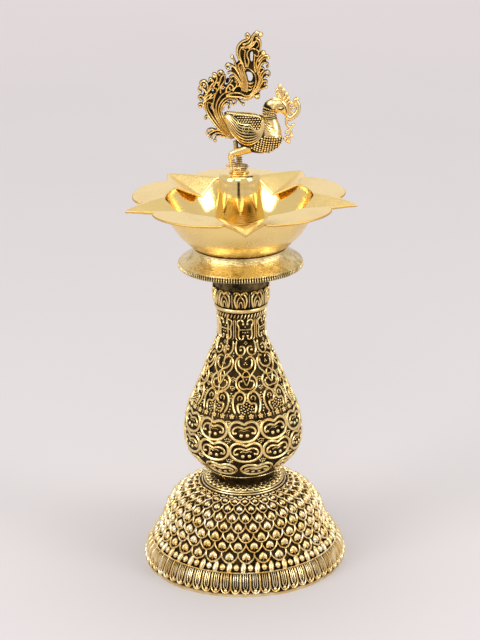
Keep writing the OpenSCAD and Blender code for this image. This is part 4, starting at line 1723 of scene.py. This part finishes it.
def back_ridge():
    """Three flat feathers along the top of the back."""
    x = np.linspace(-8.6, 15.5, 40)
    middle, half, wide = body_section(x)
    parts = []
    for lean in (-0.33, 0.0, 0.33):
        y, z = wide * np.sin(lean), middle + half * np.cos(lean)
        points = np.stack((x, y, z), axis=-1)[None]
        normals = unit(np.stack((0 * x, y / wide**2, (z - middle) / half**2), axis=-1))[None]
        parts.append(wires((points, normals), 2.5, 0.6, sides=5, sink=0.3))
    return parts


body_parts = back_ridge() + [body_core()] + neck_parts_of_bird()
body_parts += on_both(body_relief) + on_both(head_relief)
BIRD_BRASS = antique_brass("peacock_brass", 0.2, 0.62, (0.90, 0.71, 0.36, 1.0))
build("peacock_body_cast", body_parts, BIRD_BRASS, "finial", ["peacock_body"])

# %% [markdown]
# ## The plume
#
# The tail is openwork: dozens of threads that spring from the rump, run side by side up
# an S and end in balls and curls. A thin dark web holds them, with a few holes right
# through. Each thread is drawn in the side view and swept as an oval tube that
# is deeper than it is wide, so it stands out on both sides.

# %% Plume threads
# Each thread has its points as X and Z, and the radius of the ball at its end.
PLUME = [
    ([(-4.5, 313.4), (-11, 318), (-15.6, 323), (-18.8, 328), (-21.8, 333), (-23.4, 338), (-22.6, 343),
      (-20.4, 347.4), (-17.6, 350.2)], 0.9),
    ([(-4, 314.4), (-10.4, 319.2), (-15, 325), (-18.6, 330.6), (-20.8, 335.8), (-20.2, 339.2),
      (-18.0, 338.0)], 1.25),
    ([(-3.8, 315), (-9.6, 320), (-13.8, 326), (-16.6, 332), (-17, 338), (-15.4, 344), (-13.2, 348.4),
      (-12.6, 352.6)], 0.8),
    ([(-3.4, 315.6), (-8.8, 320.6), (-12.9, 327), (-15, 333), (-14.7, 338), (-12.2, 342.8), (-8.6, 345.6),
      (-5.6, 346.2)], 0.8),
    ([(-3.2, 316.2), (-8.2, 321.6), (-12, 328), (-13.4, 333), (-12.5, 337.6), (-9.5, 341.4),
      (-5.2, 342.8), (-1.2, 341.2), (1.6, 338.4), (3.4, 337.2)], 1.35),
    ([(-3.2, 317.2), (-7.6, 323), (-10.9, 329), (-11.8, 334), (-10.4, 338), (-7.6, 340.4), (-5.0, 341.2),
      (-2.2, 340.2), (-1.8, 338.0), (-3.6, 337.2), (-5.0, 339.0)], 1.3),
    ([(-10.6, 333.6), (-9.8, 336.6), (-7.8, 338.0), (-6.2, 337.0), (-6.3, 334.8)], 1.0),
    ([(-16.8, 333.2), (-18.2, 337.2)], 0.7),
    ([(-23.8, 338.6), (-20.4, 341.4), (-16.6, 342.6), (-15.4, 345.4)], 0.7),
    ([(-22.8, 341.2), (-20.6, 343.6), (-18.6, 344.6)], 1.2),
    ([(-19.8, 341.6), (-17.4, 344.2), (-14.6, 345.6)], 0.7),
    ([(-21.6, 344.2), (-19.6, 347.2), (-16.8, 349.0), (-14.6, 348.4), (-14.6, 346.4)], 1.0),
    ([(-20.6, 348.2), (-20.6, 351.6), (-22.6, 353.8), (-25.2, 352.8), (-25.4, 350.4), (-23.6, 350.0),
      (-23.0, 351.6)], 1.5),
    ([(-21.6, 345.8), (-23.6, 348.6), (-26.0, 349.2), (-26.6, 347.4), (-25.4, 346.4)], 1.3),
    ([(-22.6, 340.0), (-23.6, 342.8), (-25.8, 343.6), (-26.8, 342.0), (-25.6, 341.2)], 1.35),
    ([(-22.8, 334.4), (-23.8, 337.2), (-26.0, 338.0), (-26.9, 336.8), (-26.0, 335.8)], 1.3),
    ([(-18.6, 326.8), (-20.2, 329.2), (-22.2, 329.2), (-22.4, 327.8)], 1.25),
    ([(-19.6, 347.6), (-18.4, 350.6), (-16.4, 353.0), (-18.6, 355.6), (-19.4, 354.0), (-17.8, 353.8)], 1.3),
    ([(-16.6, 350.0), (-15.0, 352.6), (-14.2, 355.6), (-15.2, 358.6), (-17.0, 358.2), (-15.8, 356.8)], 1.6),
    ([(-13.4, 350.6), (-12.2, 353.6), (-11.0, 356.6), (-9.6, 358.2), (-10.8, 360.2), (-13.2, 359.6),
      (-12.4, 357.8)], 1.25),
    ([(-12.4, 348.4), (-10.6, 351.4), (-9.0, 354.2), (-8.8, 357.0)], 1.0),
    ([(-14.2, 352.4), (-13.2, 352.8)], 1.0),
    ([(-11.8, 345.4), (-11.6, 348.2), (-9.6, 350.0), (-9.0, 349.0)], 1.0),
    ([(-8.4, 345.8), (-7.4, 349.0), (-5.6, 351.2), (-3.6, 350.2), (-3.4, 348.0), (-5.2, 347.4),
      (-5.8, 348.8)], 1.2),
    ([(-6.0, 350.6), (-4.6, 352.6), (-3.8, 353.6)], 1.1),
    ([(-3.4, 346.8), (-1.6, 349.2), (0.8, 350.0), (2.6, 348.4), (2.9, 346.8)], 1.0),
    ([(-8.0, 343.8), (-3.6, 345.2), (1.6, 345.0), (5.2, 343.2), (8.4, 344.0), (11.0, 348.6),
      (12.3, 353.4), (11.6, 357.6), (8.8, 361.0), (5.8, 362.2), (5.0, 360.6)], 0.7),
    ([(-8.0, 343.6), (-3.6, 342.8), (1.4, 342.4), (5.8, 341.6), (9.6, 343.6), (13.2, 349.6),
      (14.4, 355.0), (13.2, 360.6), (12.4, 365.0), (14.4, 369.4), (17.4, 372.2)], 1.9),
    ([(2.8, 340.6), (6.6, 340.6), (10.8, 342.8), (14.4, 344.0)], 0.8),
    ([(10.4, 343.4), (13.0, 342.4)], 2.1),
    ([(7.4, 341.6), (11.8, 345.2), (15.0, 347.2), (17.6, 348.4), (19.2, 348.8)], 1.25),
    ([(8.2, 342.4), (12.4, 346.6), (15.6, 350.4), (17.4, 353.2), (19.4, 353.2), (19.4, 351.4),
      (18.2, 351.0)], 1.1),
    ([(9.4, 344.4), (13.4, 349.4), (15.6, 354.6), (17.6, 358.4), (20.0, 360.0), (21.6, 358.4),
      (21.2, 356.4), (19.6, 356.4)], 1.3),
    ([(12.8, 349.0), (15.0, 355.2), (15.6, 358.6), (17.6, 360.8), (17.0, 362.2), (15.2, 361.8)], 1.0),
    ([(13.6, 357.8), (13.6, 362.4), (15.4, 366.2), (18.2, 368.6), (21.0, 368.8)], 1.1),
    ([(14.2, 358.6), (15.4, 363.4), (17.8, 365.8), (20.6, 364.8), (20.2, 362.8)], 1.15),
    ([(12.2, 359.4), (11.2, 364.0), (11.4, 368.4), (11.7, 371.0)], 1.15),
    ([(6.0, 346.0), (6.4, 351.6), (5.4, 356.4), (4.0, 361.0), (3.4, 364.4), (1.8, 365.8), (0.5, 364.2),
      (1.4, 361.0), (3.2, 356.4), (4.4, 351.6), (4.6, 346.0)], 0.7),
    ([(3.6, 346.6), (3.4, 351.4), (1.8, 356.0), (-0.2, 360.4), (-1.4, 364.8), (-2.2, 368.0),
      (-3.6, 369.8)], 1.5),
    ([(5.2, 346.4), (5.6, 351.2), (4.4, 356.4), (2.6, 360.8), (2.4, 364.0)], 0.6),
    ([(2.6, 347.4), (2.0, 351.6), (0.2, 355.4), (-2.6, 358.8), (-5.2, 359.8), (-6.4, 359.0)], 1.05),
    ([(0.6, 358.6), (-1.6, 362.2), (-4.4, 364.4), (-7.0, 365.0), (-8.0, 363.0), (-6.6, 362.2)], 1.35),
    ([(1.6, 350.4), (0.2, 353.8), (-2.4, 356.8), (-4.8, 356.6), (-5.2, 354.6), (-3.6, 354.0)], 1.0),
    ([(6.6, 352.2), (8.4, 351.6), (10.4, 352.2)], 0.7),
    ([(7.2, 349.8), (9.0, 349.2), (10.2, 350.0)], 0.6),
    ([(6.8, 347.4), (8.6, 347.2), (9.6, 348.4)], 0.6),
    ([(4.6, 361.8), (3.2, 365.4), (0.8, 369.2), (-0.2, 373.0), (0.4, 376.8), (3.0, 379.8), (6.6, 381.6),
      (8.4, 383.6), (7.0, 385.4), (5.6, 384.2), (6.8, 383.2)], 1.35),
    ([(5.8, 363.2), (5.0, 367.2), (4.8, 371.2), (5.2, 374.0), (4.1, 375.2)], 1.25),
    ([(6.8, 363.0), (7.6, 367.0), (6.5, 370.8), (7.4, 374.0), (10.2, 375.4), (13.2, 374.6), (14.3, 372.0),
      (13.0, 370.0), (11.7, 371.2)], 0.9),
    ([(2.4, 376.4), (6.2, 376.8), (9.4, 379.2), (10.4, 382.4), (12.0, 384.6), (14.6, 386.0),
      (15.8, 384.6)], 1.9),
    ([(3.6, 378.4), (7.0, 379.4), (9.4, 382.0), (11.0, 384.8), (13.2, 386.2)], 1.45),
    ([(5.2, 375.8), (9.0, 377.4), (11.4, 380.0), (13.6, 380.2), (14.4, 378.0), (13.0, 376.0)], 0.8),
    ([(12.4, 383.0), (15.2, 380.8), (15.5, 377.0), (15.0, 373.4)], 0.6),
    ([(14.2, 366.6), (16.0, 369.0), (18.6, 370.6), (20.2, 370.2)], 1.1),
    ([(3.6, 364.8), (2.0, 368.6), (1.4, 372.4), (2.4, 375.6), (5.0, 377.6)], 0.7),
    ([(2.6, 349.0), (3.0, 354.0), (1.6, 359.4), (0.2, 362.4)], 0.7),
    ([(-18.9, 327.4), (-21.4, 332.6), (-22.2, 337.6), (-21.6, 341.6)], 0.8),
    ([(-6.4, 319.2), (-11.6, 324.4), (-14.9, 329.6), (-16.2, 334.4)], 0.6),
    ([(12.6, 345.6), (15.4, 350.4), (16.9, 355.2)], 0.7),
    ([(7.8, 375.6), (10.6, 377.8), (12.8, 380.8), (13.6, 383.4)], 0.7),
    ([(-1.2, 349.4), (-0.6, 352.4), (-2.0, 355.4)], 0.8),
]
TUFT = [
    ([(-4.6, 315.6), (-10.4, 318.4), (-15.0, 319.6), (-18.8, 318.0), (-20.8, 316.0)], 1.25),
    ([(-4.6, 314.8), (-10.2, 316.6), (-14.6, 317.6), (-17.6, 316.0), (-19.0, 313.6)], 1.2),
    ([(-4.8, 314.0), (-10.0, 314.8), (-14.0, 315.6), (-15.8, 313.8), (-16.2, 312.0)], 1.3),
    ([(-15.6, 319.2), (-18.4, 320.2), (-21.0, 319.4), (-21.6, 317.4)], 1.1),
]
THREAD_WIDE = 0.86
THREAD_DEEP = 2.9


def egg(x, z, wide, deep, around=12):
    """A ball stretched along y: rings shrink as sin t along an axis from far to near."""
    t = np.linspace(0.12, np.pi - 0.12, 9)
    line = np.stack((0 * t + x, -deep * np.cos(t), 0 * t + z), axis=-1)
    a = np.linspace(0, 2 * np.pi, around, endpoint=False)
    circle = np.stack((np.cos(a), 0 * a, np.sin(a)), axis=-1)
    ring = line[:, None] + wide * np.sin(t)[:, None, None] * circle
    crest = np.abs(np.concatenate((np.repeat(np.cos(t), around), [1, 1]))) * 0.5 + 0.5
    return capped(ring, [(x, -deep, z), (x, deep, z)], crest)


def threads(rows, wide=THREAD_WIDE, deep=THREAD_DEEP):
    """One tube and one end ball for each drawn thread. Depths differ a little, by
    the golden share, so threads that cross pass over and under each other."""
    parts = []
    for number, (line, ball) in enumerate(rows):
        line = np.asarray(line, float)
        length = np.linalg.norm(np.diff(line, axis=0), axis=1).sum()
        path = smooth_line(line, max(6, int(length / 0.7)))
        points = np.stack((path[:, 0], 0 * path[:, 0], path[:, 1]), axis=-1)
        share = np.linspace(0, 1, len(path))
        width = wide * (1.12 - 0.3 * share)
        depth = (deep + 0.35 * ((number * 0.618) % 1.0 - 0.5)) * (1.0 - 0.12 * share)
        parts.append(tube(points, width, depth, around=12))
        parts.append(egg(path[-1, 0], path[-1, 1], ball, min(deep + 0.35, ball + 1.1)))
    return parts


# %% Web behind the threads
WEB_EDGE = [
    (-2, 314), (-9, 313.8), (-14.5, 316.4), (-19.4, 315.4), (-19.0, 318.4), (-12.4, 320.4),
    (-16.8, 325.6), (-20.2, 329.8), (-23.2, 335), (-24.2, 341),
    (-22.8, 347), (-20.8, 351.4), (-17.4, 354.2), (-14.8, 357.0), (-10.4, 358.2), (-8.6, 354.0),
    (-8.8, 350.6), (-6.2, 351.4), (-4.4, 354.6),
    (-2.4, 357.6), (-4.4, 361.8), (-1.8, 364.6), (1.6, 368.6), (0.4, 373.4), (1.2, 377), (4.6, 380.2),
    (8.8, 383.0), (12.4, 384.2), (15.0, 380.4), (15.0, 373.4),
    (18.6, 370.2), (19.4, 366.8), (16.2, 362.6), (19.2, 358.4), (17.4, 354.4), (18.0, 350.2),
    (14.6, 345.6), (9.8, 342.2), (5.6, 340.8), (1.4, 340.0), (-4, 340.2),
    (-9.2, 338.4), (-11.4, 334.0), (-10.4, 328.6), (-6.8, 321.6), (-3, 316.6),
]
WEB_HOLES = [
    [(5.9, 359.4), (9.2, 359.0), (10.2, 355.6), (9.0, 352.9), (7.4, 353.0), (6.6, 356.2)],
    [(9.2, 366.4), (8.6, 369.6), (9.0, 373.0), (10.2, 373.4), (10.5, 369.8), (9.9, 366.2)],
    [(-8.2, 352.4), (-7.6, 355.0), (-6.2, 355.2), (-6.0, 353.0), (-7.0, 352.0)],
    [(-2.2, 352.6), (-1.0, 354.2), (0.2, 352.6), (-0.8, 351.4)],
    [(-10.8, 347.4), (-10.4, 349.6), (-9.4, 349.2), (-9.4, 347.6)],
    [(-18.0, 333.4), (-18.9, 335.4), (-17.9, 336.4), (-17.5, 334.4)],
    [(-17.9, 346.6), (-17.2, 348.0), (-16.4, 347.6), (-16.8, 346.2)],
    [(15.9, 364.2), (16.6, 365.4), (17.3, 364.6), (16.6, 363.8)],
    [(0.6, 340.8), (1.8, 342.0), (3.4, 341.2), (2.6, 340.2)],
]
WEB_DEEP = 1.25


def web_part():
    """A plate: outline and holes filled with triangles, copied to both sides of the
    middle plane and joined by walls along every edge."""
    loops = [smooth_line(loop, 3 * len(loop), closed=True) for loop in [WEB_EDGE] + WEB_HOLES]
    flat = np.vstack(loops)
    triangles = np.array(tessellate_polygon([[Vector((*p, 0.0)) for p in loop] for loop in loops]))
    count = len(flat)
    near = np.stack((flat[:, 0], np.full(count, -WEB_DEEP), flat[:, 1]), axis=-1)
    far = near * (1, -1, 1)
    p, q, r = (flat[triangles[:, k]] for k in range(3))
    turn = (q[:, 0] - p[:, 0]) * (r[:, 1] - p[:, 1]) - (q[:, 1] - p[:, 1]) * (r[:, 0] - p[:, 0])
    triangles[turn < 0] = triangles[turn < 0][:, ::-1]
    walls = []
    start = 0
    for number, loop in enumerate(loops):
        k = start + np.arange(len(loop))
        after = start + (np.arange(len(loop)) + 1) % len(loop)
        area = np.sum(loop[:, 0] * np.roll(loop[:, 1], -1) - np.roll(loop[:, 0], -1) * loop[:, 1])
        wall = np.stack((k, after, after + count, k + count), axis=-1)
        inward = (area > 0) != (number > 0)
        walls.append(wall[:, ::-1] if inward else wall)
        start += len(loop)
    faces = [triangles, triangles[:, ::-1] + count, np.concatenate(walls)]
    return Part(np.vstack((near, far)), faces, 0.0)


plume = [web_part()] + threads(PLUME) + threads(TUFT, 0.8, 2.5)
PLUME_BRASS = antique_brass("plume_brass", 0.45, 0.85, (0.84, 0.64, 0.30, 1.0))
build("peacock_plume", plume, PLUME_BRASS, "finial", ["peacock_tail"])

# %% [markdown]
# ## Crest, vine and legs
#
# A fan of ball-tipped stalks stands on the head, and a scroll hangs from the beak down
# to the breast. They are threads again, less deep than those of the plume. The legs
# are short and bent, with rings at the ankles and spread toes. They could be one skin
# over a skeleton, but tubes let each ring and toe keep its own edge.

# %% Crest and vine
CREST = [
    ([(29.4, 340.0), (28.9, 344.0), (28.6, 349.2)], 1.7),
    ([(28.8, 340.4), (27.6, 343.6), (26.8, 346.6)], 1.4),
    ([(30.2, 340.0), (30.6, 343.4), (31.0, 346.4)], 1.6),
    ([(28.0, 340.4), (27.0, 342.4), (26.5, 344.2)], 1.25),
    ([(31.0, 339.4), (32.2, 341.6), (33.0, 343.6)], 1.55),
    ([(27.0, 340.2), (27.0, 341.6)], 0.95),
    ([(31.8, 338.4), (33.2, 339.6), (34.2, 340.8)], 1.45),
    ([(32.6, 337.0), (34.0, 337.6), (34.8, 338.2)], 1.2),
]
VINE = [
    ([(32.9, 327.8), (34.4, 326.6), (36.8, 327.4), (39.6, 329.8), (41.0, 333.2), (40.6, 336.8),
      (39.0, 339.4), (40.4, 340.2)], 1.35),
    ([(37.4, 329.4), (35.6, 331.8), (35.8, 334.0), (37.6, 334.2)], 1.25),
    ([(39.6, 334.8), (38.2, 337.2), (36.4, 337.4)], 1.25),
    ([(34.6, 331.4), (34.4, 334.0), (35.2, 336.6)], 0.8),
    ([(33.6, 327.6), (32.8, 325.0), (33.2, 322.0), (35.0, 320.4), (36.9, 321.0), (37.4, 322.2)], 1.35),
    ([(34.0, 321.4), (35.6, 318.6), (35.8, 315.4), (34.6, 312.6), (34.4, 310.0)], 1.4),
    ([(35.6, 318.0), (33.8, 318.2), (32.6, 316.8)], 1.15),
    ([(35.6, 316.0), (36.6, 314.4)], 1.2),
    ([(34.8, 314.0), (32.8, 313.8), (31.6, 312.4)], 1.2),
    ([(34.6, 312.0), (33.0, 310.8)], 1.1),
]

crest_parts = threads(CREST, 1.0, 1.2)
build("peacock_crest_fan", crest_parts, BIRD_BRASS, "finial", ["peacock_crest"])
vine_parts = threads(VINE[:1], 1.75, 1.6) + threads(VINE[1:], 1.0, 1.2)
build("beak_vine_scroll", vine_parts, BIRD_BRASS, "finial", ["beak_vine"])

# %% Legs
# Each leg: how far it stands forward, how far to the side, its size and its wear. The far leg's value is set
# low as painted shade, since it stands behind, away from the light.
NEAR_LEG = (0.0, -3.2, 1.2, 0.85)
FAR_LEG = (5.0, 3.6, 1.15, 0.42)
THIGH = [(7.6, 307.4, 3.2), (4.0, 306.0, 2.7), (0.0, 304.8, 2.35), (-3.0, 304.0, 2.1), (-4.8, 302.8, 2.0)]
SHANK = [(-5.0, 303.2, 1.9), (-5.6, 301.6, 1.75), (-5.3, 299.0, 1.6), (-4.9, 296.6, 1.55),
(-4.6, 294.0, 1.6), (-4.4, 292.6, 1.7)]
TOES = [
    [(-4.6, 293.4), (-2.6, 293.2), (-0.2, 292.8), (1.4, 292.4)],
    [(-4.4, 293.6), (-2.4, 293.4), (-0.4, 293.0), (0.8, 292.5)],
    [(-5.0, 293.4), (-6.8, 294.0), (-8.4, 295.0), (-9.2, 295.4)],
]
TOE_SPREAD = [-1.6, 1.5, 0.0]
RING_HEIGHTS = (294.6, 296.0, 297.4, 298.8)
RING_SIZE = np.array([1.3, 2.0, 1.3])
ANKLE_X = -4.85


def leg_parts(shift, y, size, worn):
    """Thigh and shank as tubes, four rings round the ankle, and three toes."""
    # worn is rubbed wear on the near leg; on the far leg its low value is painted shade.
    parts = []
    for line in (THIGH, SHANK):
        path = smooth_line(line, 16)
        points = np.stack((path[:, 0] + shift, 0 * path[:, 0] + y, path[:, 1]), axis=-1)
        parts.append(tube(points, path[:, 2] * size, path[:, 2] * size * 0.95, around=18, crest=worn))
    for z in RING_HEIGHTS:
        ring = np.array([(ANKLE_X + shift, y, z + step) for step in (-0.4, 0.0, 0.4)])
        parts.append(tube(ring, size * RING_SIZE, size * RING_SIZE, around=18, crest=[0, worn, 0]))
    for line, spread in zip(TOES, TOE_SPREAD):
        path = smooth_line(line, 10)
        side = y + spread * np.linspace(0, 1, 10)
        points = np.stack((path[:, 0] + shift, side, path[:, 1]), axis=-1)
        wide, deep = np.linspace(1.3, 0.7, 10), np.linspace(1.3, 0.8, 10)
        parts.append(tube(points, wide, deep, around=12, crest=worn))
    return parts


STUB = np.array([(-2.2, 0.0, 311.5), (-2.0, -0.6, 308.5), (-1.8, -1.2, 305.5)])
legs = leg_parts(*NEAR_LEG) + leg_parts(*FAR_LEG)
legs.append(tube(STUB, 1.6, 1.6, around=12, crest=0.35))
build("peacock_legs_cast", legs, BIRD_BRASS, "finial", ["peacock_legs"])
